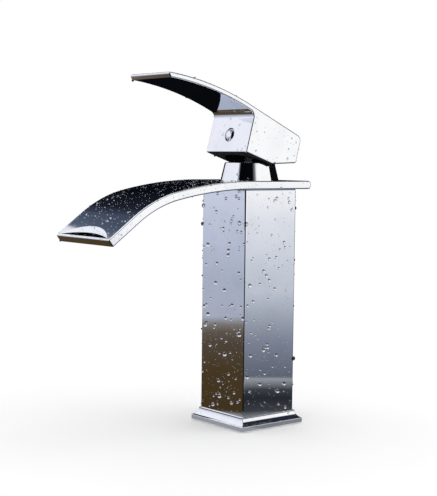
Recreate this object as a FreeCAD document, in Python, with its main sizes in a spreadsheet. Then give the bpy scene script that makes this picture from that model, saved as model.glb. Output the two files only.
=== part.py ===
# Basin mixer tap: a square column, a flat bent waterfall spout and a lever on a tapered cover.
# The origin is the centre of the foot on the basin, +Z is up and the spout reaches along -Y.
# Lengths are millimetres and angles are degrees.
import FreeCAD
import Part
import Sketcher
import math
import os

SIZES = {
    # Clearances
    "slip_gap": 0.1,  # between pieces that slide together and stay put
    "snug_gap": 0.05,  # between pieces that are soldered or pressed together
    "running_gap": 0.08,  # round a shaft that turns in its bore
    "slide_gap": 0.1,  # between faces that move over each other
    "seal_gap": 0.05,  # between an O-ring and the walls of its groove
    # Foot
    "foot_overhang": 4.0,  # how far the foot stands out from the column
    "foot_band": 3.1,  # height of the upright band round the foot
    "foot_height": 7.9,
    "foot_rim": 0.6,  # flat rim that the flare leaves round the column
    "flare_radius": 5.0,
    "ledge_height": 2.6,  # floor of the foot that carries the column
    "foot_ledge": 4.0,  # from the side of the column in to the foot's opening
    "gasket_inset": 3.0,  # from the foot's opening out to the gasket groove
    "gasket_groove_width": 3.0,
    "gasket_thickness": 1.6,
    # Column
    "column_side": 40.0,
    "column_wall": 2.5,
    "column_top": 142.1,  # height of the spout's underside over the basin
    "column_edge_radius": 1.0,
    # Water inlets
    "inlet_block_top": 20.0,
    "stud_hole_radius": 3.4,
    "stud_hole_depth": 14.0,
    "tail_offset": 9.5,  # from the axis to each tail hole and supply tube
    "tail_hole_radius": 4.6,
    "tail_hole_depth": 12.0,
    "waterway_radius": 2.5,
    "tube_radius": 4.0,
    "tube_wall": 1.0,
    "tube_seat": 6.0,  # length of tube inside each socket
    "tube_seal_section": 0.9,
    # Valve body
    "valve_depth": 34.1,  # from the top of the column down to the valve body's underside
    "neck_wall": 1.6,
    "neck_rise_height": 5.2,  # how far the neck stands over the spout
    "nut_step": 0.4,  # the nut's thread is this much wider than the chamber
    "nut_height": 4.5,
    "nut_lap": 0.8,  # how far the nut laps over the cartridge
    "nut_slot_width": 2.6,
    "nut_slot_depth": 1.5,
    "chamber_gap": 0.7,  # round the cartridge, above its seat
    "seat_depth": 2.5,  # how deep the cartridge stands in its seat
    "port_window_width": 16.0,
    "spout_gasket_width": 1.6,
    "spout_gasket_thickness": 1.0,
    # Cartridge
    "cartridge_depth": 17.1,  # from the top of the column down to the cartridge's seat
    "cartridge_radius": 12.5,
    "cartridge_wall": 1.5,
    "cartridge_base_height": 5.0,
    "port_offset": 5.8,
    "port_radius": 1.8,
    "port_seal_section": 0.5,
    "outlet_offset": 6.5,
    "outlet_radius": 2.2,
    "outlet_depth": 2.4,
    "outlet_roof": 0.6,  # left over the outlet's way to the side
    "fixed_disc_height": 3.5,
    "disc_room": 3.2,  # round the moving disc when it is central
    "moving_disc_height": 2.9,
    "mixing_rim": 2.2,  # width of the moving disc's sealing rim
    "mixing_recess_depth": 1.4,
    "carrier_height": 4.5,
    "bearing_step": 1.0,  # the turret's bearing is this much narrower than the bore
    "turret_collar_height": 5.9,
    "turret_step": 1.4,  # the turret's post is this much narrower than its collar
    "turret_rise_height": 7.0,  # how far the turret stands over its pin
    "turret_slot_length": 12.0,
    "housing_lip": 1.9,
    "housing_flange_height": 2.1,
    "housing_seal_section": 0.5,
    # Tapered cover
    "cover_skirt_width": 2.3,  # from the neck out to the foot of the cover
    "cover_taper_width": 2.5,
    "cover_rise_height": 7.5,  # how far the cover stands over the pin
    "cover_wall": 1.5,
    "cover_ledge": 4.0,  # width of the cover's flat top
    "cover_edge_radius": 0.5,
    "cover_seal_section": 0.5,
    # Spout
    "spout_width": 52.5,
    "spout_thickness": 4.9,
    "spout_rear": 26.3,
    "spout_reach": 119.7,
    "spout_gentle_radius": 260.0,
    "spout_gentle_angle": 12.0,
    "spout_tight_radius": 75.0,
    "spout_tip_angle": 36.0,
    "spout_skin": 1.3,  # metal over and under the waterway
    "spout_side_wall": 2.75,
    "waterway_start": 8.0,  # how far in front of the axis the waterway begins
    "lip_wall": 1.4,  # wall that closes the tip, which the water runs over
    "mouth_inset": 0.3,  # from each side of the waterway in to the ends of the mouth
    "mouth_height": 4.0,  # how far the arched mouth reaches up from the lip
    "scoop_height": 8.6,  # how far the arched scoop round the mouth reaches up from the lip
    "scoop_depth": 0.8,  # depth of the scoop at the edge of the mouth
    "spout_rear_radius": 2.0,
    "spout_edge_radius": 0.8,
    # Lever, in a frame of its own that stands on the pin, with its front face upright
    "lever_lean": 15.4,  # how far the raised lever leans back
    "pin_radius": 1.5,
    "pin_inset": 0.4,  # how far each end of the pin stays inside the turret
    "stem_side": 7.0,
    "stem_foot": 4.0,  # square part below the pin
    "stem_top": 25.5,
    "stem_arm_length": 11.0,  # from the pin down to the ball
    "stem_neck_radius": 1.7,
    "ball_radius": 2.2,
    "ball_gap": 0.15,
    "ball_floor_gap": 0.3,  # under the ball of an upright stem
    "lever_side_wall": 2.35,  # beside the pocket
    "lever_front": 21.7,
    "lever_rear": 18.0,
    "lever_front_bottom": 8.0,
    "lever_heel_place": 0.3,  # the heel is the lowest line under the block
    "lever_heel_height": 6.9,
    "lever_rear_bottom": 12.7,
    "lever_rear_top": 28.8,
    "lever_rise_angle": 8.8,
    "blade_straight": 26.0,  # where the straight top ends, in front of the pin
    "blade_radius": 190.0,
    "blade_thickness": 3.0,
    "blade_reach": 88.3,
    "blade_undercut": 2.8,
    "blade_tip_radius": 1.3,
    "lever_rear_radius": 4.0,
    "lever_neck_radius": 4.0,
    "lever_edge_radius": 1.0,
    "lever_pocket_gap": 1.4,  # round the top of the cover
    "lever_pocket_place": 0.9,  # how far the pocket's centre lies in front of the pin
    "lever_pocket_top": 15.0,
    "plug_height": 18.8,
    "plug_radius": 4.2,
    "plug_depth": 4.0,
    "plug_recess": 0.4,
    "plug_edge_radius": 3.2,
    "screw_radius": 2.5,
    "screw_length": 11.0,
    "screw_socket_radius": 1.45,
    "screw_socket_depth": 3.0,
}

SHEET = "sizes"
HEX_SIDES = 6
FULL_TURN = 360.0
SAME_LENGTH = 1e-4
X_AXIS = FreeCAD.Vector(1, 0, 0)
Z_AXIS = FreeCAD.Vector(0, 0, 1)


class Size:
    """A length or angle: the cell formula that gives it, and its value now."""

    def __init__(self, text, value):
        self.text = text
        self.value = value

    def __add__(self, other):
        return Size(f"({self.text} + {formula(other)})", self.value + number(other))

    def __sub__(self, other):
        return Size(f"({self.text} - {formula(other)})", self.value - number(other))

    def __mul__(self, other):
        return Size(f"({self.text} * {formula(other)})", self.value * number(other))

    def __truediv__(self, other):
        return Size(f"({self.text} / {formula(other)})", self.value / number(other))

    def __neg__(self):
        return Size(f"(-1 * {self.text})", -self.value)


class Dimensions:
    """Gives each cell of the sheet as a Size, by its alias."""

    def __getattr__(self, name):
        return Size(f"{SHEET}.{name}", SIZES[name])


def formula(amount):
    """Return an amount as formula text."""
    return amount.text if isinstance(amount, Size) else str(amount)


def number(amount):
    """Return an amount as a plain number."""
    return amount.value if isinstance(amount, Size) else amount


def sine(angle):
    """Return the sine of an angle."""
    return Size(f"sin({angle.text})", math.sin(math.radians(angle.value)))


def cosine(angle):
    """Return the cosine of an angle."""
    return Size(f"cos({angle.text})", math.cos(math.radians(angle.value)))


def tangent(angle):
    """Return the tangent of an angle."""
    return Size(f"tan({angle.text})", math.tan(math.radians(angle.value)))


def root(amount):
    """Return a square root."""
    return Size(f"sqrt({amount.text})", math.sqrt(amount.value))


ZERO = Size("0", 0.0)
dim = Dimensions()
doc = FreeCAD.newDocument("basin_mixer_tap")
nodes = {}


def make_sheet():
    """Write the driving sizes into the document's sheet."""
    sheet = doc.addObject("Spreadsheet::Sheet", SHEET)
    for row, (name, value) in enumerate(SIZES.items(), start=1):
        sheet.set(f"A{row}", name)
        sheet.set(f"B{row}", str(value))
        sheet.setAlias(f"B{row}", name)
    doc.recompute()


def bind(item, path, amount):
    """Tie a property to the sheet."""
    item.setExpression(path, formula(amount))


def add_node(name, item):
    """Keep an object as a sub-part of the tap."""
    item.Label = name
    nodes[name] = item


def new_body(name):
    """Start a sub-part that is built by features."""
    body = doc.addObject("PartDesign::Body", name)
    add_node(name, body)
    return body


def new_sketch(body, name, plane, offset=ZERO):
    """Add a sketch on one of the body's own planes, moved along the plane's normal."""
    sketch = body.newObject("Sketcher::SketchObject", name)
    support = next(item for item in body.Origin.OriginFeatures if item.Role == plane)
    sketch.AttachmentSupport = (support, [""])
    sketch.MapMode = "FlatFace"
    bind(sketch, "AttachmentOffset.Base.z", offset)
    return sketch


def lean_sketch(sketch, axis, angle, place):
    """Turn a sketch about one of its plane's axes and move its origin to a place in that plane's frame."""
    sketch.AttachmentOffset = FreeCAD.Placement(FreeCAD.Vector(), FreeCAD.Rotation(axis, angle.value))
    bind(sketch, "AttachmentOffset.Rotation.Angle", angle)
    for letter, amount in zip("xyz", place):
        bind(sketch, f"AttachmentOffset.Base.{letter}", amount)


def fix(sketch, kind, references, name, amount):
    """Add a dimension to a sketch and tie it to the sheet."""
    index = sketch.addConstraint(Sketcher.Constraint(kind, *references, amount.value))
    sketch.renameConstraint(index, name)
    bind(sketch, f"Constraints.{name}", amount)


def arc_centre(start, end, radius, side):
    """Return the centre of an arc, to the left (1) or the right (-1) of its chord."""
    chord = end - start
    rise = math.sqrt(radius ** 2 - (chord.Length / 2) ** 2)
    normal = FreeCAD.Vector(-chord.y, chord.x, 0).normalize()
    return (start + end) / 2 + normal * rise * side


def make_edge(start, end, arc):
    """Return one edge of an outline, with the positions of its start and its end."""
    if arc is None:
        return Part.LineSegment(start, end), 1, 2
    radius, side = arc
    centre = arc_centre(start, end, radius.value, side)
    first, last = (start, end) if side > 0 else (end, start)
    angles = [math.atan2(point.y - centre.y, point.x - centre.x) for point in (first, last)]
    circle = Part.Circle(centre, Z_AXIS, radius.value)
    edge = Part.ArcOfCircle(circle, angles[0], angles[1])
    return (edge, 1, 2) if side > 0 else (edge, 2, 1)


def draw_outline(sketch, points, arcs=None):
    """Draw a closed outline through points; arcs gives (radius, side) for the edges that bend."""
    arcs = arcs or {}
    corners = [FreeCAD.Vector(across.value, along.value, 0) for across, along in points]
    count = len(points)
    base = sketch.GeometryCount
    ends = []
    for index, corner in enumerate(corners):
        edge, first, last = make_edge(corner, corners[(index + 1) % count], arcs.get(index))
        sketch.addGeometry(edge, False)
        ends.append((first, last))
    for index in range(count):
        following = (index + 1) % count
        joined = (base + index, ends[index][1], base + following, ends[following][0])
        sketch.addConstraint(Sketcher.Constraint("Coincident", *joined))
    for index, (across, along) in enumerate(points):
        place = (-1, 1, base + index, ends[index][0])
        fix(sketch, "DistanceX", place, f"across_{base + index}", across)
        fix(sketch, "DistanceY", place, f"along_{base + index}", along)
        if index in arcs:
            fix(sketch, "Radius", (base + index,), f"radius_{base + index}", arcs[index][0])


def draw_circle(sketch, radius, across=ZERO, along=ZERO):
    """Draw a circle by its centre and radius."""
    centre = FreeCAD.Vector(across.value, along.value, 0)
    index = sketch.addGeometry(Part.Circle(centre, Z_AXIS, radius.value), False)
    fix(sketch, "DistanceX", (-1, 1, index, 3), f"across_{index}", across)
    fix(sketch, "DistanceY", (-1, 1, index, 3), f"along_{index}", along)
    fix(sketch, "Radius", (index,), f"radius_{index}", radius)


def draw_rectangle(sketch, half_across, low, high):
    """Draw a rectangle that is centred across and runs from low to high."""
    corners = [(-half_across, low), (half_across, low), (half_across, high), (-half_across, high)]
    draw_outline(sketch, corners)


def extrude(body, kind, sketch, length, backwards=False, both_ways=False):
    """Add a Pad or Pocket of a sketch."""
    feature = body.newObject(f"PartDesign::{kind}", f"{sketch.Name}_{kind.lower()}")
    feature.Profile = sketch
    bind(feature, "Length", length)
    feature.Reversed = backwards
    feature.Midplane = both_ways
    return feature


def pad(body, sketch, length, **options):
    """Add material and return the feature."""
    feature = extrude(body, "Pad", sketch, length, **options)
    doc.recompute()
    return feature


def check_removed(body, before, feature):
    """Make sure that a cut took material away."""
    if not body.Shape.Volume < before:
        raise RuntimeError(f"{feature.Name} removes nothing")


def pocket(body, sketch, length, **options):
    """Remove material along a sketch's normal."""
    before = body.Shape.Volume
    feature = extrude(body, "Pocket", sketch, length, **options)
    doc.recompute()
    check_removed(body, before, feature)


def turn_profile(body, kind, sketch):
    """Add a Revolution or Groove of a sketch about its upright axis."""
    feature = body.newObject(f"PartDesign::{kind}", f"{sketch.Name}_turned")
    feature.Profile = sketch
    feature.ReferenceAxis = (sketch, ["V_Axis"])
    feature.Angle = FULL_TURN
    doc.recompute()
    return feature


def revolve(body, name, points, arcs=None):
    """Turn a profile of (radius, height) points about the upright axis."""
    sketch = new_sketch(body, name, "XZ_Plane")
    draw_outline(sketch, points, arcs)
    return turn_profile(body, "Revolution", sketch)


def groove(body, sketch):
    """Remove material round a sketch's upright axis."""
    before = body.Shape.Volume
    feature = turn_profile(body, "Groove", sketch)
    check_removed(body, before, feature)


def round_edges(body, base, name, radius, wanted):
    """Fillet the edges of the base feature that the test wants."""
    names = [f"Edge{index}" for index, edge in enumerate(base.Shape.Edges, start=1) if wanted(edge)]
    feature = body.newObject("PartDesign::Fillet", name)
    feature.Base = (base, names)
    bind(feature, "Radius", radius)
    doc.recompute()
    return feature


def close_to(value, target):
    """Say whether two lengths are the same."""
    return abs(value - target) < SAME_LENGTH


def add_square(body, name, side, bottom, top):
    """Add a square block about the axis."""
    sketch = new_sketch(body, name, "XY_Plane", bottom)
    draw_rectangle(sketch, side / 2, -side / 2, side / 2)
    return pad(body, sketch, top - bottom)


def add_round(body, name, radius, bottom, top, across=ZERO, along=ZERO):
    """Add an upright cylinder."""
    sketch = new_sketch(body, name, "XY_Plane", bottom)
    draw_circle(sketch, radius, across, along)
    return pad(body, sketch, top - bottom)


def drill(body, name, radius, bottom, top, across=ZERO, along=ZERO):
    """Cut an upright round hole."""
    sketch = new_sketch(body, name, "XY_Plane", top)
    draw_circle(sketch, radius, across, along)
    pocket(body, sketch, top - bottom)


def add_ring(name, middle_radius, section_radius, height, across=ZERO):
    """Make an O-ring that lies flat."""
    ring = doc.addObject("Part::Torus", name)
    bind(ring, "Radius1", middle_radius)
    bind(ring, "Radius2", section_radius)
    bind(ring, "Placement.Base.x", across)
    bind(ring, "Placement.Base.z", height)
    add_node(name, ring)


def tilt_with_lever(body):
    """Stand a body on the pin and lean it back with the lever."""
    body.Placement = FreeCAD.Placement(FreeCAD.Vector(), FreeCAD.Rotation(-X_AXIS, dim.lever_lean.value))
    bind(body, "Placement.Base.z", pivot_height)
    bind(body, "Placement.Rotation.Angle", dim.lever_lean)


# Heights and radii that several pieces share
foot_side = dim.column_side + dim.foot_overhang * 2
foot_opening_radius = dim.column_side / 2 - dim.foot_ledge
gasket_groove_inner = foot_opening_radius + dim.gasket_inset
gasket_groove_outer = gasket_groove_inner + dim.gasket_groove_width
block_side = dim.column_side - dim.column_wall * 2 - dim.snug_gap * 2
socket_radius = dim.tube_radius + dim.slip_gap
seal_seat_radius = dim.tube_radius + dim.tube_seal_section * 2 + dim.seal_gap * 2
seal_seat_depth = dim.tube_seal_section * 2 + dim.seal_gap
valve_bottom = dim.column_top - dim.valve_depth
tube_bottom = dim.inlet_block_top - dim.tube_seat
tube_top = valve_bottom + dim.tube_seat
spout_top = dim.column_top + dim.spout_thickness
neck_top = spout_top + dim.neck_rise_height
nut_top = neck_top + dim.slip_gap
nut_bottom = nut_top - dim.nut_height
cartridge_seat = dim.column_top - dim.cartridge_depth
chamber_floor = cartridge_seat + dim.seat_depth
disc_floor = cartridge_seat + dim.cartridge_base_height
fixed_disc_top = disc_floor + dim.fixed_disc_height
moving_disc_floor = fixed_disc_top + dim.slide_gap
moving_disc_top = moving_disc_floor + dim.moving_disc_height
carrier_top = moving_disc_top + dim.carrier_height
turret_bottom = carrier_top + dim.slide_gap
collar_top = turret_bottom + dim.turret_collar_height
pivot_height = moving_disc_top + dim.ball_floor_gap + dim.ball_radius + dim.stem_arm_length
turret_top = pivot_height + dim.turret_rise_height
cover_top = pivot_height + dim.cover_rise_height
chamber_radius = dim.cartridge_radius + dim.chamber_gap
housing_flange_radius = chamber_radius - dim.slip_gap
nut_radius = chamber_radius + dim.nut_step
nut_bore = dim.cartridge_radius - dim.nut_lap
housing_lip_radius = nut_bore - dim.slide_gap * 2
housing_bore = dim.cartridge_radius - dim.cartridge_wall
turret_collar_radius = housing_bore - dim.bearing_step
turret_radius = turret_collar_radius - dim.turret_step
moving_disc_radius = housing_bore - dim.disc_room
mixing_recess_radius = moving_disc_radius - dim.mixing_rim
neck_radius = nut_radius + dim.neck_wall
gasket_inner = neck_radius + dim.slip_gap
cover_base_radius = neck_radius + dim.cover_skirt_width
cover_top_radius = cover_base_radius - dim.cover_taper_width
cover_opening_radius = cover_top_radius - dim.cover_ledge
lever_pocket_radius = cover_top_radius + dim.lever_pocket_gap
lever_width = (lever_pocket_radius + dim.lever_side_wall) * 2
disc_shift = -dim.stem_arm_length * sine(dim.lever_lean)


def make_base_flange():
    """Square foot: two crossed flared profiles, with a seat for the column and a gasket groove."""
    half = foot_side / 2
    rim = dim.column_side / 2 + dim.slip_gap + dim.foot_rim
    outline = [(-half, ZERO), (half, ZERO), (half, dim.foot_band), (rim, dim.foot_height),
               (-rim, dim.foot_height), (-half, dim.foot_band)]
    arcs = {2: (dim.flare_radius, -1), 4: (dim.flare_radius, -1)}
    crossed = []
    for name, plane in (("flare_across", "XZ_Plane"), ("flare_along", "YZ_Plane")):
        body = doc.addObject("PartDesign::Body", name)
        sketch = new_sketch(body, f"{name}_profile", plane)
        draw_outline(sketch, outline, arcs)
        pad(body, sketch, foot_side, both_ways=True)
        crossed.append(body)
    flared = doc.addObject("Part::Common", "flared_foot")
    flared.Base, flared.Tool = crossed
    seat_side = dim.column_side + dim.slip_gap * 2
    seat = doc.addObject("Part::Box", "column_seat")
    bind(seat, "Length", seat_side)
    bind(seat, "Width", seat_side)
    bind(seat, "Height", dim.foot_height)
    bind(seat, "Placement.Base.x", -seat_side / 2)
    bind(seat, "Placement.Base.y", -seat_side / 2)
    bind(seat, "Placement.Base.z", dim.ledge_height)
    opening = make_cylinder("foot_opening", foot_opening_radius, dim.foot_height)
    groove_outside = make_cylinder("groove_outside", gasket_groove_outer, dim.gasket_thickness)
    groove_inside = make_cylinder("groove_inside", gasket_groove_inner, dim.gasket_thickness)
    gasket_groove = cut("gasket_groove", groove_outside, groove_inside)
    opened = cut("foot_with_opening", cut("foot_with_seat", flared, seat), opening)
    add_node("base_flange", cut("base_flange", opened, gasket_groove))


def make_cylinder(name, radius, height):
    """Make an upright cylinder that stands on the basin."""
    cylinder = doc.addObject("Part::Cylinder", name)
    bind(cylinder, "Radius", radius)
    bind(cylinder, "Height", height)
    return cylinder


def cut(name, base, tool):
    """Take one solid from another."""
    result = doc.addObject("Part::Cut", name)
    result.Base = base
    result.Tool = tool
    doc.recompute()
    return result


def make_flat_ring(name, inner, outer, bottom, thickness):
    """Flat ring, such as a gasket."""
    body = new_body(name)
    revolve(body, f"{name}_profile", [(inner, bottom), (outer, bottom), (outer, bottom + thickness),
                                      (inner, bottom + thickness)])


def make_column_shell():
    """Square tube with softly broken corners."""
    body = new_body("column_shell")
    outside = add_square(body, "column_outside", dim.column_side, dim.ledge_height, dim.column_top)
    half = dim.column_side.value / 2

    def is_corner(edge):
        middle = edge.CenterOfMass
        return close_to(abs(middle.x), half) and close_to(abs(middle.y), half)

    round_edges(body, outside, "column_corners", dim.column_edge_radius, is_corner)
    inside = new_sketch(body, "column_inside", "XY_Plane", dim.column_top)
    half_inside = dim.column_side / 2 - dim.column_wall
    draw_rectangle(inside, half_inside, -half_inside, half_inside)
    pocket(body, inside, dim.column_top - dim.ledge_height)


def make_inlet_block():
    """Brass block in the foot: stud hole in the middle, a tail hole and a tube socket on each side."""
    body = new_body("inlet_block")
    add_square(body, "inlet_square", block_side, dim.ledge_height, dim.inlet_block_top)
    add_round(body, "inlet_boss", foot_opening_radius - dim.slip_gap, ZERO, dim.ledge_height)
    drill(body, "stud_hole", dim.stud_hole_radius, ZERO, dim.stud_hole_depth)
    top = dim.inlet_block_top
    seal_floor = top - seal_seat_depth
    for side, place in (("hot", -dim.tail_offset), ("cold", dim.tail_offset)):
        drill(body, f"{side}_tail_hole", dim.tail_hole_radius, ZERO, dim.tail_hole_depth, place)
        drill(body, f"{side}_waterway", dim.waterway_radius, dim.tail_hole_depth, top, place)
        drill(body, f"{side}_socket", socket_radius, tube_bottom, top, place)
        drill(body, f"{side}_seal_seat", seal_seat_radius, seal_floor, top, place)


def make_supply_tube(side, place):
    """Tube from the inlet block to the valve body, with an O-ring at each end."""
    body = new_body(f"{side}_supply_tube")
    sketch = new_sketch(body, f"{side}_tube_section", "XY_Plane", tube_bottom)
    draw_circle(sketch, dim.tube_radius, place)
    draw_circle(sketch, dim.tube_radius - dim.tube_wall, place)
    pad(body, sketch, tube_top - tube_bottom)
    middle = dim.tube_radius + dim.seal_gap + dim.tube_seal_section
    lower = dim.inlet_block_top - seal_seat_depth + dim.tube_seal_section
    upper = valve_bottom + seal_seat_depth - dim.tube_seal_section
    add_ring(f"{side}_tube_lower_seal", middle, dim.tube_seal_section, lower, place)
    add_ring(f"{side}_tube_upper_seal", middle, dim.tube_seal_section, upper, place)


def make_valve_body():
    """Brass block under the spout: cartridge bore, ports, outlet window and threaded neck."""
    body = new_body("valve_body")
    add_square(body, "valve_square", block_side, valve_bottom, dim.column_top)
    add_round(body, "valve_neck", neck_radius, dim.column_top, neck_top)
    drill(body, "nut_bore_cut", nut_radius + dim.slip_gap, nut_bottom, neck_top)
    drill(body, "chamber_cut", chamber_radius, chamber_floor, nut_bottom)
    drill(body, "seat_cut", dim.cartridge_radius + dim.slip_gap, cartridge_seat, chamber_floor)
    for side, sign in (("hot", -1), ("cold", 1)):
        place = dim.tail_offset * sign
        drill(body, f"{side}_valve_socket", socket_radius, valve_bottom, tube_top, place)
        seal_ceiling = valve_bottom + seal_seat_depth
        drill(body, f"{side}_valve_seal_seat", seal_seat_radius, valve_bottom, seal_ceiling, place)
        drill(body, f"{side}_port", dim.port_radius, tube_top, cartridge_seat, dim.port_offset * sign)
    window = new_sketch(body, "outlet_window", "XZ_Plane")
    window_bottom = dim.column_top + dim.spout_skin
    window_top = spout_top - dim.spout_skin
    draw_rectangle(window, dim.port_window_width / 2, window_bottom, window_top)
    pocket(body, window, gasket_inner, backwards=True)
    seal_seat = new_sketch(body, "spout_gasket_groove", "XY_Plane", dim.column_top)
    draw_circle(seal_seat, gasket_inner)
    draw_circle(seal_seat, gasket_inner + dim.spout_gasket_width)
    pocket(body, seal_seat, dim.spout_gasket_thickness)


def spout_line(depth, overrun):
    """Return the points of the spout's bent line at a depth under its top, from the column to the tip."""
    gentle, tight = dim.spout_gentle_angle, dim.spout_tip_angle
    flat_end = -dim.column_side / 2
    gentle_height = spout_top - dim.spout_gentle_radius
    gentle_reach = dim.spout_gentle_radius - depth
    tight_reach = dim.spout_tight_radius - depth
    radius_step = dim.spout_gentle_radius - dim.spout_tight_radius
    tight_place = flat_end - radius_step * sine(gentle)
    tight_height = gentle_height + radius_step * cosine(gentle)
    bend = (flat_end - gentle_reach * sine(gentle), gentle_height + gentle_reach * cosine(gentle))
    straight = (tight_place - tight_reach * sine(tight), tight_height + tight_reach * cosine(tight))
    top_straight = tight_place - dim.spout_tight_radius * sine(tight)
    run = (dim.spout_reach + top_straight) / cosine(tight) + overrun
    tip = (straight[0] - run * cosine(tight), straight[1] - run * sine(tight))
    return [(flat_end, spout_top - depth), bend, straight, tip]


def arch_radius(half_span, height):
    """Return the radius of an arch by half of its span and its height."""
    return (half_span * half_span + height * height) / (height * 2)


def make_mouth(body, tip):
    """Arched mouth behind the lip, in a shallow conical scoop; the lip then stands up straight again."""
    lean = dim.spout_tip_angle
    half_span = dim.spout_width / 2 - dim.spout_side_wall - dim.mouth_inset
    scoop_radius = arch_radius(half_span, dim.scoop_height)
    mouth_edge = scoop_radius - dim.scoop_height + dim.mouth_height
    axis = dim.lip_wall + dim.scoop_height - scoop_radius
    scoop = new_sketch(body, "mouth_scoop", "YZ_Plane")
    lean_sketch(scoop, Z_AXIS, lean, (tip[0] + axis * cosine(lean), tip[1] + axis * sine(lean), ZERO))
    draw_outline(scoop, [(mouth_edge, -dim.scoop_depth), (scoop_radius, ZERO),
                         (scoop_radius, dim.scoop_depth), (mouth_edge, dim.scoop_depth)])
    groove(body, scoop)
    opening = new_sketch(body, "mouth_opening", "XY_Plane")
    lean_sketch(opening, X_AXIS, lean, (ZERO, *tip))
    ends = [(-half_span, dim.lip_wall), (half_span, dim.lip_wall)]
    draw_outline(opening, ends, {1: (arch_radius(half_span, dim.mouth_height), 1)})
    pocket(body, opening, dim.spout_thickness / 2)
    lip = new_sketch(body, "lip_top", "XY_Plane")
    lean_sketch(lip, X_AXIS, lean, (ZERO, *tip))
    draw_rectangle(lip, dim.spout_width / 2 - dim.spout_edge_radius, ZERO, dim.lip_wall)
    pad(body, lip, dim.spout_skin, backwards=True)


def make_spout():
    """Hollow plate bent down by two tangent arcs, with an arched mouth behind its closed tip."""
    body = new_body("spout")
    over = spout_line(ZERO, ZERO)
    under = spout_line(dim.spout_thickness, ZERO)
    outline = [(dim.spout_rear, spout_top)] + over + under[::-1] + [(dim.spout_rear, dim.column_top)]
    arcs = {1: (dim.spout_gentle_radius, 1), 2: (dim.spout_tight_radius, 1),
            6: (dim.spout_tight_radius - dim.spout_thickness, -1),
            7: (dim.spout_gentle_radius - dim.spout_thickness, -1)}
    profile = new_sketch(body, "spout_profile", "YZ_Plane")
    draw_outline(profile, outline, arcs)
    plate = pad(body, profile, dim.spout_width, both_ways=True)
    half = dim.spout_width.value / 2
    rear = dim.spout_rear.value

    def is_rear(edge):
        return close_to(edge.CenterOfMass.y, rear) and close_to(edge.CenterOfMass.x, 0)

    def is_side(edge):
        middle = edge.CenterOfMass
        return close_to(abs(middle.x), half)

    rounded = round_edges(body, plate, "spout_rear_round", dim.spout_rear_radius, is_rear)
    round_edges(body, rounded, "spout_edges", dim.spout_edge_radius, is_side)
    roof = spout_line(dim.spout_skin, -dim.lip_wall)
    floor_depth = dim.spout_thickness - dim.spout_skin
    floor = spout_line(floor_depth, -dim.lip_wall)
    start = -dim.waterway_start
    start_top = (start, spout_top - dim.spout_skin)
    start_bottom = (start, dim.column_top + dim.spout_skin)
    channel = [start_top] + roof + floor[::-1] + [start_bottom]
    channel_arcs = {1: (dim.spout_gentle_radius - dim.spout_skin, 1),
                    2: (dim.spout_tight_radius - dim.spout_skin, 1),
                    6: (dim.spout_tight_radius - floor_depth, -1),
                    7: (dim.spout_gentle_radius - floor_depth, -1)}
    waterway = new_sketch(body, "spout_waterway", "YZ_Plane")
    draw_outline(waterway, channel, channel_arcs)
    pocket(body, waterway, dim.spout_width - dim.spout_side_wall * 2, both_ways=True)
    drill(body, "neck_hole", gasket_inner, dim.column_top, spout_top)
    make_mouth(body, over[-1])


def make_cartridge_base():
    """Foot of the cartridge: two inlet ports with seals, and an outlet that leaves at the front."""
    body = new_body("cartridge_base")
    add_round(body, "cartridge_base_disc", dim.cartridge_radius, cartridge_seat, disc_floor)
    seal_ceiling = cartridge_seat + dim.port_seal_section * 2 + dim.seal_gap
    seal_height = cartridge_seat + dim.port_seal_section
    middle = dim.port_radius + dim.seal_gap + dim.port_seal_section
    seat_radius = middle + dim.port_seal_section + dim.seal_gap
    for side, sign in (("hot", -1), ("cold", 1)):
        place = dim.port_offset * sign
        drill(body, f"{side}_base_port", dim.port_radius, cartridge_seat, disc_floor, place)
        drill(body, f"{side}_base_seal_seat", seat_radius, cartridge_seat, seal_ceiling, place)
        add_ring(f"{side}_port_seal", middle, dim.port_seal_section, seal_height, place)
    outlet_floor = disc_floor - dim.outlet_depth
    drill(body, "base_outlet", dim.outlet_radius, outlet_floor, disc_floor, ZERO, -dim.outlet_offset)
    side_way = new_sketch(body, "base_outlet_way", "XZ_Plane", dim.outlet_offset)
    draw_rectangle(side_way, dim.outlet_radius, outlet_floor, disc_floor - dim.outlet_roof)
    pocket(body, side_way, dim.cartridge_radius, backwards=True)


def make_fixed_disc():
    """Ceramic disc with the two inlet ports and the outlet."""
    body = new_body("fixed_ceramic_disc")
    add_round(body, "fixed_disc", housing_bore - dim.slip_gap, disc_floor, fixed_disc_top)
    drill(body, "hot_disc_port", dim.port_radius, disc_floor, fixed_disc_top, -dim.port_offset)
    drill(body, "cold_disc_port", dim.port_radius, disc_floor, fixed_disc_top, dim.port_offset)
    drill(body, "disc_outlet", dim.outlet_radius, disc_floor, fixed_disc_top, ZERO, -dim.outlet_offset)


def make_moving_disc():
    """Ceramic disc with a mixing recess under it, and the carrier that the stem's ball pushes."""
    disc = new_body("moving_ceramic_disc")
    add_round(disc, "moving_disc", moving_disc_radius, moving_disc_floor, moving_disc_top)
    recess_top = moving_disc_floor + dim.mixing_recess_depth
    drill(disc, "mixing_recess", mixing_recess_radius, moving_disc_floor, recess_top)
    carrier = new_body("disc_carrier")
    add_round(carrier, "carrier_disc", moving_disc_radius, moving_disc_top, carrier_top)
    drill(carrier, "ball_socket", dim.ball_radius + dim.ball_gap, moving_disc_top, carrier_top)
    for body in (disc, carrier):
        bind(body, "Placement.Base.y", disc_shift)


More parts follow.
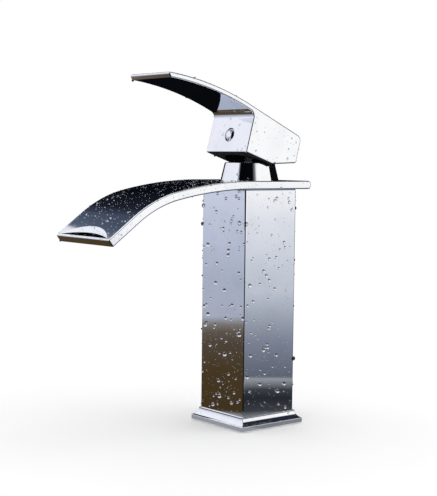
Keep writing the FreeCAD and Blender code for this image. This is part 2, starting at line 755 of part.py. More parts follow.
def make_cartridge_housing():
    """Cartridge shell: bore for the discs, bearing for the turret, lip over it and a sealed flange."""
    body = new_body("cartridge_housing")
    bearing = turret_collar_radius + dim.running_gap
    lip = turret_radius + dim.slide_gap * 2
    lip_bottom = collar_top + dim.slide_gap
    lip_top = lip_bottom + dim.housing_lip
    flange_bottom = nut_bottom - dim.housing_flange_height
    seal_middle = (nut_bottom + flange_bottom) / 2
    groove_half = dim.housing_seal_section + dim.seal_gap
    groove_floor = chamber_radius - dim.seal_gap * 2 - dim.housing_seal_section * 2
    revolve(body, "housing_profile", [
        (housing_bore, disc_floor),
        (dim.cartridge_radius, disc_floor),
        (dim.cartridge_radius, flange_bottom),
        (housing_flange_radius, flange_bottom),
        (housing_flange_radius, seal_middle - groove_half),
        (groove_floor, seal_middle - groove_half),
        (groove_floor, seal_middle + groove_half),
        (housing_flange_radius, seal_middle + groove_half),
        (housing_flange_radius, nut_bottom),
        (housing_lip_radius, nut_bottom),
        (housing_lip_radius, lip_top),
        (lip, lip_top),
        (lip, lip_bottom),
        (bearing, lip_bottom),
        (bearing, turret_bottom),
        (housing_bore, turret_bottom),
    ])
    ring_middle = chamber_radius - dim.seal_gap - dim.housing_seal_section
    add_ring("housing_o_ring", ring_middle, dim.housing_seal_section, seal_middle)


def make_cartridge_nut():
    """Ring nut with two crossed key slots in its top."""
    body = new_body("cartridge_nut")
    revolve(body, "nut_profile", [(nut_bore, nut_bottom), (nut_radius, nut_bottom),
                                  (nut_radius, nut_top), (nut_bore, nut_top)])
    half_width = dim.nut_slot_width / 2
    for name, plane in (("nut_slot_along", "XZ_Plane"), ("nut_slot_across", "YZ_Plane")):
        slot = new_sketch(body, name, plane)
        draw_rectangle(slot, half_width, nut_top - dim.nut_slot_depth, nut_top)
        pocket(body, slot, nut_radius * 2, both_ways=True)


def make_cone_cover():
    """Tapered cover round the neck, with an opening in its top for the stem and a seal under it."""
    body = new_body("cone_cover")
    seal_seat = neck_radius + dim.cover_seal_section * 2 + dim.seal_gap * 2
    seal_top = spout_top + dim.cover_seal_section * 2 + dim.seal_gap
    ceiling = cover_top - dim.cover_wall
    profile = revolve(body, "cover_profile", [
        (seal_seat, spout_top),
        (cover_base_radius, spout_top),
        (cover_top_radius, cover_top),
        (cover_opening_radius, cover_top),
        (cover_opening_radius, ceiling),
        (cover_top_radius - dim.cover_wall, ceiling),
        (gasket_inner, nut_top + dim.slip_gap),
        (gasket_inner, seal_top),
        (seal_seat, seal_top),
    ])
    top = cover_top.value
    outer = cover_top_radius.value

    def is_top_rim(edge):
        box = edge.BoundBox
        return close_to(box.ZMin, top) and close_to(box.XMax, outer)

    round_edges(body, profile, "cover_rim", dim.cover_edge_radius, is_top_rim)
    ring_middle = neck_radius + dim.seal_gap + dim.cover_seal_section
    add_ring("cone_seal_ring", ring_middle, dim.cover_seal_section, spout_top + dim.cover_seal_section)


def make_turret():
    """Turret that turns in the housing and carries the stem's pin."""
    body = new_body("turret")
    add_round(body, "turret_collar", turret_collar_radius, turret_bottom, collar_top)
    add_round(body, "turret_post", turret_radius, collar_top, turret_top)
    slot = new_sketch(body, "turret_slot", "XY_Plane", turret_top)
    half_width = dim.stem_side / 2 + dim.slide_gap
    draw_rectangle(slot, half_width, -dim.turret_slot_length / 2, dim.turret_slot_length / 2)
    pocket(body, slot, turret_top - turret_bottom)
    hole = new_sketch(body, "turret_pin_hole", "YZ_Plane")
    draw_circle(hole, dim.pin_radius + dim.snug_gap, ZERO, pivot_height)
    pocket(body, hole, turret_collar_radius * 2, both_ways=True)
    pin = new_body("stem_pin")
    section = new_sketch(pin, "pin_section", "YZ_Plane")
    draw_circle(section, dim.pin_radius, ZERO, pivot_height)
    pad(pin, section, turret_radius * 2 - dim.pin_inset * 2, both_ways=True)


def blade_line(depth):
    """Return the points of the blade at a depth under its top: rear, end of the straight, and tip."""
    rise = dim.lever_rise_angle
    straight_height = dim.lever_rear_top + (dim.lever_rear + dim.blade_straight) * tangent(rise)
    centre_place = -dim.blade_straight - dim.blade_radius * sine(rise)
    centre_height = straight_height - dim.blade_radius * cosine(rise)
    reach = dim.blade_radius - depth
    straight = (centre_place + reach * sine(rise), centre_height + reach * cosine(rise))
    end = -dim.blade_reach + dim.blade_undercut * depth / dim.blade_thickness
    fall = end - centre_place
    tip = (end, centre_height + root(reach * reach - fall * fall))
    return straight, tip


def make_lever_handle():
    """Lever: a block over the cover, hollowed for it, and a thin blade that bends over at its tip."""
    body = new_body("lever_handle")
    top_straight, top_tip = blade_line(ZERO)
    under_straight, under_tip = blade_line(dim.blade_thickness)
    rise = dim.lever_rise_angle
    front_top = dim.lever_rear_top + (dim.lever_rear + dim.lever_front) * tangent(rise)
    neck = (-dim.lever_front, front_top - dim.blade_thickness / cosine(rise))
    outline = [
        (-dim.lever_front, dim.lever_front_bottom),
        (-dim.lever_heel_place, dim.lever_heel_height),
        (dim.lever_rear, dim.lever_rear_bottom),
        (dim.lever_rear, dim.lever_rear_top),
        top_straight,
        top_tip,
        under_tip,
        under_straight,
        neck,
    ]
    arcs = {4: (dim.blade_radius, 1), 6: (dim.blade_radius - dim.blade_thickness, -1)}
    profile = new_sketch(body, "lever_profile", "YZ_Plane")
    draw_outline(profile, outline, arcs)
    block = pad(body, profile, lever_width, both_ways=True)
    half = lever_width.value / 2

    def is_across(place, height):
        def wanted(edge):
            middle = edge.CenterOfMass
            return close_to(middle.y, place) and close_to(middle.z, height) and close_to(middle.x, 0)
        return wanted

    rear_test = is_across(dim.lever_rear.value, dim.lever_rear_top.value)
    rear = round_edges(body, block, "lever_rear_round", dim.lever_rear_radius, rear_test)
    neck_test = is_across(neck[0].value, neck[1].value)
    necked = round_edges(body, rear, "lever_neck_round", dim.lever_neck_radius, neck_test)
    tip_test = is_across(top_tip[0].value, top_tip[1].value)
    tipped = round_edges(body, necked, "blade_tip_round", dim.blade_tip_radius, tip_test)

    def is_side(edge):
        return close_to(abs(edge.CenterOfMass.x), half)

    round_edges(body, tipped, "lever_edges", dim.lever_edge_radius, is_side)
    pocket_place = -dim.lever_pocket_place
    drill(body, "lever_pocket", lever_pocket_radius, ZERO, dim.lever_pocket_top, ZERO, pocket_place)
    socket = new_sketch(body, "stem_socket", "XY_Plane", dim.stem_top + dim.slip_gap)
    half_socket = dim.stem_side / 2 + dim.snug_gap
    draw_rectangle(socket, half_socket, -half_socket, half_socket)
    pocket(body, socket, dim.stem_top)
    plug_hole = new_sketch(body, "plug_hole", "XZ_Plane", dim.lever_front)
    draw_circle(plug_hole, dim.plug_radius, ZERO, dim.plug_height)
    pocket(body, plug_hole, dim.plug_depth)
    screw_hole = new_sketch(body, "screw_hole", "XZ_Plane", dim.lever_front)
    draw_circle(screw_hole, dim.screw_radius + dim.snug_gap, ZERO, dim.plug_height)
    pocket(body, screw_hole, dim.lever_front)
    tilt_with_lever(body)


def make_lever_stem():
    """Square stem on the pin, with a ball at its lower end."""
    body = new_body("lever_stem")
    add_square(body, "stem_square", dim.stem_side, -dim.stem_foot, dim.stem_top)
    neck_height = root(dim.ball_radius * dim.ball_radius - dim.stem_neck_radius * dim.stem_neck_radius)
    revolve(body, "stem_ball", [
        (ZERO, -dim.stem_arm_length - dim.ball_radius),
        (dim.stem_neck_radius, neck_height - dim.stem_arm_length),
        (dim.stem_neck_radius, ZERO),
        (ZERO, ZERO),
    ], {0: (dim.ball_radius, 1)})
    hole = new_sketch(body, "stem_pin_hole", "YZ_Plane")
    draw_circle(hole, dim.pin_radius + dim.running_gap)
    pocket(body, hole, dim.stem_side * 2, both_ways=True)
    tilt_with_lever(body)


def make_grub_screw():
    """Headless screw that holds the lever on the stem."""
    body = new_body("grub_screw")
    start = dim.stem_side / 2
    shank = new_sketch(body, "screw_shank", "XZ_Plane", start)
    draw_circle(shank, dim.screw_radius, ZERO, dim.plug_height)
    pad(body, shank, dim.screw_length)
    key = new_sketch(body, "screw_key", "XZ_Plane", start + dim.screw_length)
    corners = []
    for index in range(HEX_SIDES):
        turn = math.radians(FULL_TURN * index / HEX_SIDES)
        across = dim.screw_socket_radius * math.cos(turn)
        along = dim.plug_height + dim.screw_socket_radius * math.sin(turn)
        corners.append((across, along))
    draw_outline(key, corners)
    pocket(body, key, dim.screw_socket_depth)
    tilt_with_lever(body)


def make_index_plug():
    """Round plug with a domed front, a little below the lever's face."""
    body = new_body("index_plug")
    floor = dim.lever_front - dim.plug_depth
    face = dim.lever_front - dim.plug_recess
    disc = new_sketch(body, "plug_disc", "XZ_Plane", floor)
    draw_circle(disc, dim.plug_radius - dim.slip_gap, ZERO, dim.plug_height)
    solid = pad(body, disc, face - floor)

    def is_front(edge):
        return close_to(edge.BoundBox.YMax, -face.value)

    round_edges(body, solid, "plug_front", dim.plug_edge_radius, is_front)
    tilt_with_lever(body)


def build():
    """Build every sub-part."""
    make_sheet()
    make_base_flange()
    groove_inner = gasket_groove_inner + dim.slip_gap
    groove_outer = gasket_groove_outer - dim.slip_gap
    make_flat_ring("deck_gasket", groove_inner, groove_outer, ZERO, dim.gasket_thickness)
    make_column_shell()
    make_inlet_block()
    make_supply_tube("hot", -dim.tail_offset)
    make_supply_tube("cold", dim.tail_offset)
    make_valve_body()
    ring_floor = dim.column_top - dim.spout_gasket_thickness
    ring_inner = gasket_inner + dim.seal_gap
    ring_outer = gasket_inner + dim.spout_gasket_width - dim.seal_gap
    make_flat_ring("spout_gasket", ring_inner, ring_outer, ring_floor, dim.spout_gasket_thickness)
    make_spout()
    make_cartridge_base()
    make_fixed_disc()
    make_moving_disc()
    make_cartridge_housing()
    make_cartridge_nut()
    make_cone_cover()
    make_turret()
    make_lever_handle()
    make_lever_stem()
    make_grub_screw()
    make_index_plug()
    doc.recompute()


def write_parts():
    """Check every object and write each sub-part."""
    for item in doc.Objects:
        if "Invalid" in item.State or "Error" in item.State:
            raise RuntimeError(f"{item.Label} failed: {item.State}")
    for name, item in nodes.items():
        if item.Shape.isNull() or not item.Shape.isValid() or len(item.Shape.Solids) != 1:
            raise RuntimeError(f"{name} is not one valid solid")
    os.makedirs("parts", exist_ok=True)
    for name, item in nodes.items():
        item.Shape.exportStep(f"parts/{name}.step")
        print(f"{name}: {item.Shape.Volume:.1f} mm3")


build()
write_parts()
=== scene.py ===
"""Basin mixer tap in bright chrome, wet with drops: square column, bent waterfall spout and lever."""

import logging
import math
from collections.abc import Iterable
from dataclasses import dataclass
from enum import Enum
from typing import Any

import bmesh
import bpy
from mathutils import Matrix, Vector

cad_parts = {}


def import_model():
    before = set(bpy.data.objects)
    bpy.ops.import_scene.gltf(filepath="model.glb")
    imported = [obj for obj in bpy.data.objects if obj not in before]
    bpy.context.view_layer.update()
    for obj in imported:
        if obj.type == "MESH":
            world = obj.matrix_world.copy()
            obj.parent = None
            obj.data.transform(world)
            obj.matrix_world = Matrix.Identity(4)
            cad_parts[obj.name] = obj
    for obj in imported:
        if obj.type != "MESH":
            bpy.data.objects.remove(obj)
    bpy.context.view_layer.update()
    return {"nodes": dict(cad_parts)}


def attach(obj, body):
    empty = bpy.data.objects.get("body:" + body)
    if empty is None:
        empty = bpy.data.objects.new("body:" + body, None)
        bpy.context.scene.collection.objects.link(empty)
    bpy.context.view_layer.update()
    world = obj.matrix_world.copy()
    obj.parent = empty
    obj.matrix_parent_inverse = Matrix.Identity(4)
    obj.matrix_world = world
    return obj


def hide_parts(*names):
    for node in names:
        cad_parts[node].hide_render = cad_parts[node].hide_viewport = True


MM = 0.001
SHARP_EDGE = math.radians(32)  # from this angle on, an edge counts as sharp
STRAIGHT_EDGE = 1e-3  # below this angle, in radians, an edge counts as straight
DRAWN_GAP = 1e-5  # drawn corners this close are one, in millimetres
WELD_GAP = 3e-6  # corners of a cut piece this close are one, in metres
OVERSHOOT = 1.0  # how far a cutter stands out of the piece, in millimetres
HOLE_STEPS = 96  # steps round a turned hole
MAT_HEIGHT = 0.0005  # of the studio's mats over the basin, in metres
FLOOR_DROP = 0.0002  # of the studio's floor under the foot, in metres
log = logging.getLogger("basin_mixer_tap")

Point = tuple[float, float]
Stop = tuple[float, str]
Colour = tuple[float, float, float, float]


class Body(Enum):
    """Bodies of the tap that carry the pieces made here."""

    TAP = "tap_body"
    LEVER = "lever"


class Skin(Enum):
    """What covers a face of a chromed piece; the values are places in its list of materials."""

    PLATED = 0
    # Bare cast faces in hollows and under the lever, darkened to near black as painted shade
    CAST_PAINTED_SHADE = 1


class Wet(Enum):
    """What a wet surface tells the drops on it; the values name its attributes."""

    AMOUNT = "wetness"
    SMALLEST = "smallest_drop"
    LARGEST = "largest_drop"


class Slot(Enum):
    """Material slots of the record."""

    CHROME = "chrome"
    BRASS = "brass"
    RUBBER = "rubber"
    CERAMIC = "ceramic"
    PLASTIC = "plastic"
    STEEL = "steel"


def linear(hex_colour: str) -> Colour:
    """Turn an sRGB hex colour into linear values.

    Args:
        hex_colour: Colour such as "#C0C4CC".

    Returns:
        Linear red, green, blue and an alpha of 1.
    """
    channels = [int(hex_colour[start:start + 2], 16) / 255 for start in (1, 3, 5)]
    values = [c / 12.92 if c <= 0.04045 else ((c + 0.055) / 1.055) ** 2.4 for c in channels]
    return (values[0], values[1], values[2], 1.0)


def feed(tree: bpy.types.NodeTree, node: bpy.types.Node, inputs: dict[str | int, Any]) -> None:
    """Set or link the inputs of a node.

    Args:
        tree: Tree that the node is in.
        node: The node.
        inputs: Values or sockets by input name or number; a socket is linked, a value is set.
    """
    for name, value in inputs.items():
        if isinstance(value, bpy.types.NodeSocket):
            tree.links.new(value, node.inputs[name])
        else:
            node.inputs[name].default_value = value


def add_node(tree: bpy.types.NodeTree, kind: str, inputs: dict[str | int, Any] | None = None,
             **settings: Any) -> bpy.types.Node:
    """Add a node to a tree.

    Args:
        tree: Tree that gets the node.
        kind: Blender's name for the node.
        inputs: Values or sockets for its inputs.
        settings: Properties of the node itself.

    Returns:
        The new node.
    """
    node = tree.nodes.new(kind)
    for name, value in settings.items():
        setattr(node, name, value)
    feed(tree, node, inputs or {})
    return node


def set_stops(node: bpy.types.Node, stops: Iterable[Stop]) -> None:
    """Give a colour ramp its stops.

    Args:
        node: Colour ramp node.
        stops: Position and hex colour of each stop, in order.
    """
    elements = node.color_ramp.elements
    while len(elements) > 1:
        elements.remove(elements[-1])
    first, *others = [(position, linear(colour)) for position, colour in stops]
    elements[0].position, elements[0].color = first
    for position, colour in others:
        elements.new(position).color = colour


def new_material(name: str) -> tuple[bpy.types.Material, bpy.types.Node]:
    """Start a material.

    Args:
        name: Name of the real material.

    Returns:
        The material and its Principled shader.
    """
    material = bpy.data.materials.new(name)
    material.use_nodes = True
    return material, material.node_tree.nodes["Principled BSDF"]


def pattern_scale(size_mm: float) -> float:
    """Return the texture scale that gives features of a size, on Object coordinates in metres."""
    return 1.0 / (size_mm * MM)


@dataclass(frozen=True)
class PolishedChrome:
    """Bright chrome plate over polished brass.

    A mirror that shows its surroundings; the polished brass under it leaves long faint ripples,
    and wiping leaves a faint haze in patches.
    """

    name: str = "polished_chrome_plate"
    bright: str = "#F8F9FB"
    hazed: str = "#EFF1F4"
    roughness: float = 0.025
    haze_roughness: float = 0.07
    haze_mm: float = 16.0
    haze_tint: Point = (0.45, 0.75)
    haze_gloss: Point = (0.45, 0.8)
    ripple_mm: float = 22.0
    ripple_height_mm: float = 0.006

    def material(self) -> bpy.types.Material:
        """Build the material.

        Returns:
            The chrome material.
        """
        material, shader = new_material(self.name)
        tree = material.node_tree
        place = add_node(tree, "ShaderNodeTexCoord").outputs["Object"]
        haze = add_node(tree, "ShaderNodeTexNoise",
                        {"Vector": place, "Scale": pattern_scale(self.haze_mm), "Detail": 3.0})
        tint = add_node(tree, "ShaderNodeValToRGB", {"Fac": haze.outputs["Fac"]})
        set_stops(tint, zip(self.haze_tint, (self.bright, self.hazed)))
        gloss = add_node(tree, "ShaderNodeMapRange",
                         {"Value": haze.outputs["Fac"], "From Min": self.haze_gloss[0],
                          "From Max": self.haze_gloss[1],
                          "To Min": self.roughness, "To Max": self.haze_roughness})
        ripple = add_node(tree, "ShaderNodeTexNoise",
                          {"Vector": place, "Scale": pattern_scale(self.ripple_mm), "Detail": 1.0})
        bump = add_node(tree, "ShaderNodeBump",
                        {"Height": ripple.outputs["Fac"], "Distance": self.ripple_height_mm * MM})
        feed(tree, shader, {"Metallic": 1.0, "Base Color": tint.outputs["Color"],
                            "Roughness": gloss.outputs["Result"], "Normal": bump.outputs["Normal"]})
        return material


@dataclass(frozen=True)
class MachinedPart:
    """A turned, pressed or moulded inner part, with grain of a real size.

    The grain is stretched along one axis for turned metal and even in all directions for mouldings.
    """

    name: str
    light: str
    dark: str
    metallic: float
    roughness: float
    roughness_spread: float
    grain_mm: Vector
    grain_height_mm: float
    grain_tint: Point = (0.35, 0.65)
    grain_gloss: Point = (0.3, 0.7)

    def material(self) -> bpy.types.Material:
        """Build the material.

        Returns:
            The material of the inner part.
        """
        material, shader = new_material(self.name)
        tree = material.node_tree
        place = add_node(tree, "ShaderNodeTexCoord").outputs["Object"]
        scale = [pattern_scale(size) for size in self.grain_mm]
        spread = add_node(tree, "ShaderNodeMapping", {"Vector": place, "Scale": scale})
        grain = add_node(tree, "ShaderNodeTexNoise",
                         {"Vector": spread.outputs["Vector"], "Scale": 1.0, "Detail": 4.0})
        tint = add_node(tree, "ShaderNodeValToRGB", {"Fac": grain.outputs["Fac"]})
        set_stops(tint, zip(self.grain_tint, (self.dark, self.light)))
        gloss = add_node(tree, "ShaderNodeMapRange",
                         {"Value": grain.outputs["Fac"], "From Min": self.grain_gloss[0],
                          "From Max": self.grain_gloss[1],
                          "To Min": self.roughness - self.roughness_spread,
                          "To Max": self.roughness + self.roughness_spread})
        bump = add_node(tree, "ShaderNodeBump",
                        {"Height": grain.outputs["Fac"], "Distance": self.grain_height_mm * MM})
        feed(tree, shader, {"Metallic": self.metallic, "Base Color": tint.outputs["Color"],
                            "Roughness": gloss.outputs["Result"], "Normal": bump.outputs["Normal"]})
        return material


@dataclass(frozen=True)
class ClearWater:
    """Tap water in drops: clear, glassy, with the refraction of water and a faint surface tremble."""

    name: str = "clear_water"
    tint: str = "#FFFFFF"
    refraction: float = 1.333
    tremble_mm: float = 0.8
    tremble_height_mm: float = 0.01

    def material(self) -> bpy.types.Material:
        """Build the material.

        Returns:
            The water material.
        """
        material, shader = new_material(self.name)
        tree = material.node_tree
        place = add_node(tree, "ShaderNodeTexCoord").outputs["Object"]
        tremble = add_node(tree, "ShaderNodeTexNoise",
                           {"Vector": place, "Scale": pattern_scale(self.tremble_mm)})
        bump = add_node(tree, "ShaderNodeBump",
                        {"Height": tremble.outputs["Fac"], "Distance": self.tremble_height_mm * MM})
        feed(tree, shader, {"Base Color": linear(self.tint), "Roughness": 0.0, "IOR": self.refraction,
                            "Transmission Weight": 1.0, "Normal": bump.outputs["Normal"]})
        return material


TURNED_GRAIN = Vector((6.0, 6.0, 0.35))
EVEN_GRAIN = Vector((0.6, 0.6, 0.6))

# Bare cast brass in the cut hollows and under the lever block: dull and brown, darkened to near black as painted
# shade for the shade that falls there
CAST_BRASS_PAINTED_SHADE = MachinedPart("cast_brass_painted_shade", "#1D1812", "#100D0A", 0.0, 0.85, 0.1, EVEN_GRAIN, 0.03)

INNER_FINISHES: dict[Slot, MachinedPart] = {
    # Turned brass: warm yellow with fine rings that catch the light
    Slot.BRASS: MachinedPart("turned_brass", "#CDAA62", "#A9853F", 1.0, 0.28, 0.08, TURNED_GRAIN, 0.01),
    # Moulded EPDM rubber: near black, dull, with a fine mottled skin
    Slot.RUBBER: MachinedPart("moulded_epdm_rubber", "#2A2A2B", "#171718", 0.0, 0.62, 0.1, EVEN_GRAIN, 0.02),
    # Lapped alumina: off-white with a silky shine
    Slot.CERAMIC: MachinedPart("lapped_alumina", "#F0EDE6", "#E2DED4", 0.0, 0.22, 0.06, EVEN_GRAIN, 0.004),
    # Moulded acetal: milky white plastic with a soft gloss
    Slot.PLASTIC: MachinedPart("moulded_acetal", "#E7E6E1", "#D8D7D1", 0.0, 0.42, 0.06, EVEN_GRAIN, 0.008),
    # Ground stainless steel: grey with fine grinding lines
    Slot.STEEL: MachinedPart("ground_stainless_steel", "#C4C6C8", "#A2A4A7", 1.0, 0.3, 0.08, TURNED_GRAIN, 0.006),
}


def arc(centre: Point, radius: float, start: float, end: float, steps: int) -> list[Point]:
    """Return points along an arc.

    Args:
        centre: Centre of the arc.
        radius: Radius of the arc.
        start: Angle of the first point, in radians.
        end: Angle of the last point, in radians.
        steps: Number of steps from the first point to the last.

    Returns:
        The points, both ends among them.
    """
    angles = [start + (end - start) * step / steps for step in range(steps + 1)]
    return [(centre[0] + radius * math.cos(a), centre[1] + radius * math.sin(a)) for a in angles]


def arch_radius(half_span: float, height: float) -> float:
    """Return the radius of an arch by half of its span and its height."""
    return (half_span ** 2 + height ** 2) / (2 * height)


def rounded_corner(before: Point, corner: Point, after: Point, radius: float, steps: int = 10) -> list[Point]:
    """Return the points that round one corner of an outline.

    Args:
        before: Point before the corner.
        corner: The sharp corner.
        after: Point after the corner.
        radius: Radius of the rounding.
        steps: Number of steps round the corner.

    Returns:
        Points from one tangent to the other.
    """
    here = Vector(corner)
    back = (Vector(before) - here).normalized()
    ahead = (Vector(after) - here).normalized()
    half = back.angle(ahead) / 2
    centre = here + (back + ahead).normalized() * (radius / math.sin(half))
    first = here + back * (radius / math.tan(half)) - centre
    last = here + ahead * (radius / math.tan(half)) - centre
    sweep = first.angle_signed(last)
    start = math.atan2(first.y, first.x)
    return arc((centre.x, centre.y), radius, start, start - sweep, steps)


def link_mesh(name: str, mesh: bmesh.types.BMesh,
              materials: Iterable[bpy.types.Material | None] = ()) -> bpy.types.Object:
    """Put a mesh into the scene as an object.

    Args:
        name: Name of the object.
        mesh: The mesh in metres, which is freed.
        materials: Its materials, or places for them.

    Returns:
        The object.
    """
    data = bpy.data.meshes.new(name)
    for material in materials:
        data.materials.append(material)
    mesh.to_mesh(data)
    mesh.free()
    piece = bpy.data.objects.new(name, data)
    bpy.context.scene.collection.objects.link(piece)
    return piece


def new_object(name: str, mesh: bmesh.types.BMesh) -> bpy.types.Object:
    """Turn a mesh drawn in millimetres into an object in metres.

    Args:
        name: Name of the object.
        mesh: The drawn mesh, which is freed.

    Returns:
        The object, with its faces pointing outwards and smooth.
    """
    bmesh.ops.remove_doubles(mesh, verts=mesh.verts, dist=DRAWN_GAP)
    bmesh.ops.recalc_face_normals(mesh, faces=mesh.faces)
    bmesh.ops.scale(mesh, vec=(MM, MM, MM), verts=mesh.verts)
    for face in mesh.faces:
        face.smooth = True
    return link_mesh(name, mesh, [None for _ in Skin])


def prism(outline: list[Point], half_width: float) -> bmesh.types.BMesh:
    """Draw a side outline and push it across to both sides.

    Args:
        outline: Points of the side view, front to back and height.
        half_width: Half of the width across.

    Returns:
        The drawn mesh, in millimetres.
    """
    mesh = bmesh.new()
    left = [mesh.verts.new((-half_width, y, z)) for y, z in outline]
    right = [mesh.verts.new((half_width, y, z)) for y, z in outline]
    for index in range(len(outline)):
        following = (index + 1) % len(outline)
        mesh.faces.new((left[index], right[index], right[following], left[following]))
    mesh.faces.new(left)
    mesh.faces.new(list(reversed(right)))
    return mesh


def upright_prism(outline: list[Point], low: float, high: float) -> bmesh.types.BMesh:
    """Draw an upright prism over an outline in plan.

    Args:
        outline: Points (x, y) of the outline.
        low: Height of its foot.
        high: Height of its top.

    Returns:
        The drawn mesh, in millimetres.
    """
    mesh = prism(outline, (high - low) / 2)
    # The width of the lying prism becomes the height of the upright one
    raised = Matrix(((0, 1, 0, 0), (0, 0, 1, 0), (1, 0, 0, (low + high) / 2), (0, 0, 0, 1)))
    bmesh.ops.transform(mesh, matrix=raised, verts=mesh.verts)
    return mesh


def loft(profile: list[Point], section: list[Point], closed: bool) -> bmesh.types.BMesh:
    """Draw rings of one section, each with its own size and height, and join them.

    Args:
        profile: Size and height of each ring.
        section: Points of a ring of size 1.
        closed: Whether the last ring joins the first.

    Returns:
        The drawn mesh, in millimetres.
    """
    mesh = bmesh.new()
    rings = [[mesh.verts.new((size * x, size * y, height)) for x, y in section] for size, height in profile]
    pairs = list(zip(rings, rings[1:])) + ([(rings[-1], rings[0])] if closed else [])
    for lower, upper in pairs:
        for step in range(len(section)):
            following = (step + 1) % len(section)
            mesh.faces.new((lower[step], lower[following], upper[following], upper[step]))
    return mesh


def lathe(profile: list[Point], steps: int, closed: bool = True) -> bmesh.types.BMesh:
    """Turn a profile about the upright axis.

    Args:
        profile: Radius and height of each point.
        steps: Number of steps round the axis.
        closed: Whether the last point joins the first.

    Returns:
        The drawn mesh, in millimetres.
    """
    turns = [2 * math.pi * step / steps for step in range(steps)]
    return loft(profile, [(math.cos(t), math.sin(t)) for t in turns], closed)


def square_loft(profile: list[Point], closed: bool = True) -> bmesh.types.BMesh:
    """Draw a square form, mitred at its corners, from the half side and the height of each square."""
    return loft(profile, [(-1, -1), (1, -1), (1, 1), (-1, 1)], closed)


def rod(radius: float, low: float, high: float, steps: int = HOLE_STEPS) -> bmesh.types.BMesh:
    """Draw an upright solid cylinder, for cutting.

    Args:
        radius: Radius of the cylinder.
        low: Height of its lower end.
        high: Height of its upper end.
        steps: Number of steps round it.

    Returns:
        The drawn mesh, in millimetres.
    """
    mesh = lathe([(radius, low), (radius, high)], steps, closed=False)
    bmesh.ops.holes_fill(mesh, edges=mesh.edges)
    return mesh


def settle(piece: bpy.types.Object) -> None:
    """Turn a piece with modifiers into a plain mesh.

    Args:
        piece: The piece; its modifiers are removed.
    """
    graph = bpy.context.evaluated_depsgraph_get()
    evaluated = piece.evaluated_get(graph)
    plain = bpy.data.meshes.new_from_object(evaluated, preserve_all_data_layers=True, depsgraph=graph)
    piece.modifiers.clear()
    rough = piece.data
    piece.data = plain
    plain.name = piece.name
    bpy.data.meshes.remove(rough)


def cut(piece: bpy.types.Object, cutter: bmesh.types.BMesh, skin: Skin = Skin.PLATED) -> None:
    """Take a drawn form out of a piece.

    Args:
        piece: The piece that is cut.
        cutter: The drawn form, in millimetres, which is freed.
        skin: What the cut's faces are covered with.
    """
    for face in cutter.faces:
        face.material_index = skin.value
    tool = new_object("cutter", cutter)
    change = piece.modifiers.new("cut", "BOOLEAN")
    change.operation = "DIFFERENCE"
    change.solver = "EXACT"
    change.material_mode = "INDEX"
    change.object = tool
    settle(piece)
    shape = tool.data
    bpy.data.objects.remove(tool)
    bpy.data.meshes.remove(shape)


def break_edges(piece: bpy.types.Object, width_mm: float, steps: int = 3, sharp: float = SHARP_EDGE) -> None:
    """Round the sharp edges of a piece, so that they catch the light.

    Args:
        piece: The piece.
        width_mm: Width of the rounding, in millimetres.
        steps: Number of steps across the rounding.
        sharp: Angle from which an edge is rounded, in radians.
    """
    change = piece.modifiers.new("edges", "BEVEL")
    change.width = width_mm * MM
    change.segments = steps
    change.limit_method = "ANGLE"
    change.angle_limit = sharp
    settle(piece)


def weld(piece: bpy.types.Object) -> None:
    """Join corners that cuts leave next to each other, so that no sliver or loose edge is left.

    Args:
        piece: The piece.
    """
    mesh = bmesh.new()
    mesh.from_mesh(piece.data)
    bmesh.ops.remove_doubles(mesh, verts=mesh.verts, dist=WELD_GAP)
    bmesh.ops.dissolve_degenerate(mesh, edges=mesh.edges, dist=WELD_GAP)
    loose = [edge for edge in mesh.edges if not edge.link_faces]
    bmesh.ops.delete(mesh, geom=loose, context="EDGES")
    # A corner halfway along a straight edge would become a triangle without area on either side
    straight = [vert for vert in mesh.verts
                if len(vert.link_edges) == 2 and vert.calc_edge_angle() < STRAIGHT_EDGE]
    bmesh.ops.dissolve_verts(mesh, verts=straight)
    mesh.to_mesh(piece.data)
    mesh.free()


def even_shading(piece: bpy.types.Object, crease: float) -> None:
    """Make flat faces mirror flatly and roundings mirror smoothly.

    Args:
        piece: The finished piece.
        crease: Angle from which an edge stays sharp, in radians.
    """
    piece.data.set_sharp_from_angle(angle=crease)
    change = piece.modifiers.new("shading", "WEIGHTED_NORMAL")
    change.keep_sharp = True
    change.weight = 100
    settle(piece)


@dataclass
class SubAssembly:
    """A chromed piece of the tap that stands for one node of the frame."""

    node: str = ""
    body: Body = Body.TAP
    wetness: float = 1.0
    smallest_drop: float = 0.2
    largest_drop: float = 1.5
    dry_behind: float = math.inf
    crease: float = SHARP_EDGE

    def build(self) -> bpy.types.Object:
        """Build the finished mesh."""
        raise NotImplementedError

    def wet_shell(self) -> bmesh.types.BMesh:
        """Draw the outside that drops lie on."""
        raise NotImplementedError

    def dress(self, piece: bpy.types.Object, skins: dict[Skin, bpy.types.Material]) -> None:
        """Give the piece its finishes and its place in the frame.

        Args:
            piece: The finished mesh object.
            skins: Its finishes.
        """
        weld(piece)
        even_shading(piece, self.crease)
        for skin, material in skins.items():
            piece.data.materials[skin.value] = material
        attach(piece, self.body.value)
        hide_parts(self.node)
        log.info("%s: %d faces on %s", piece.name, len(piece.data.polygons), self.body.value)


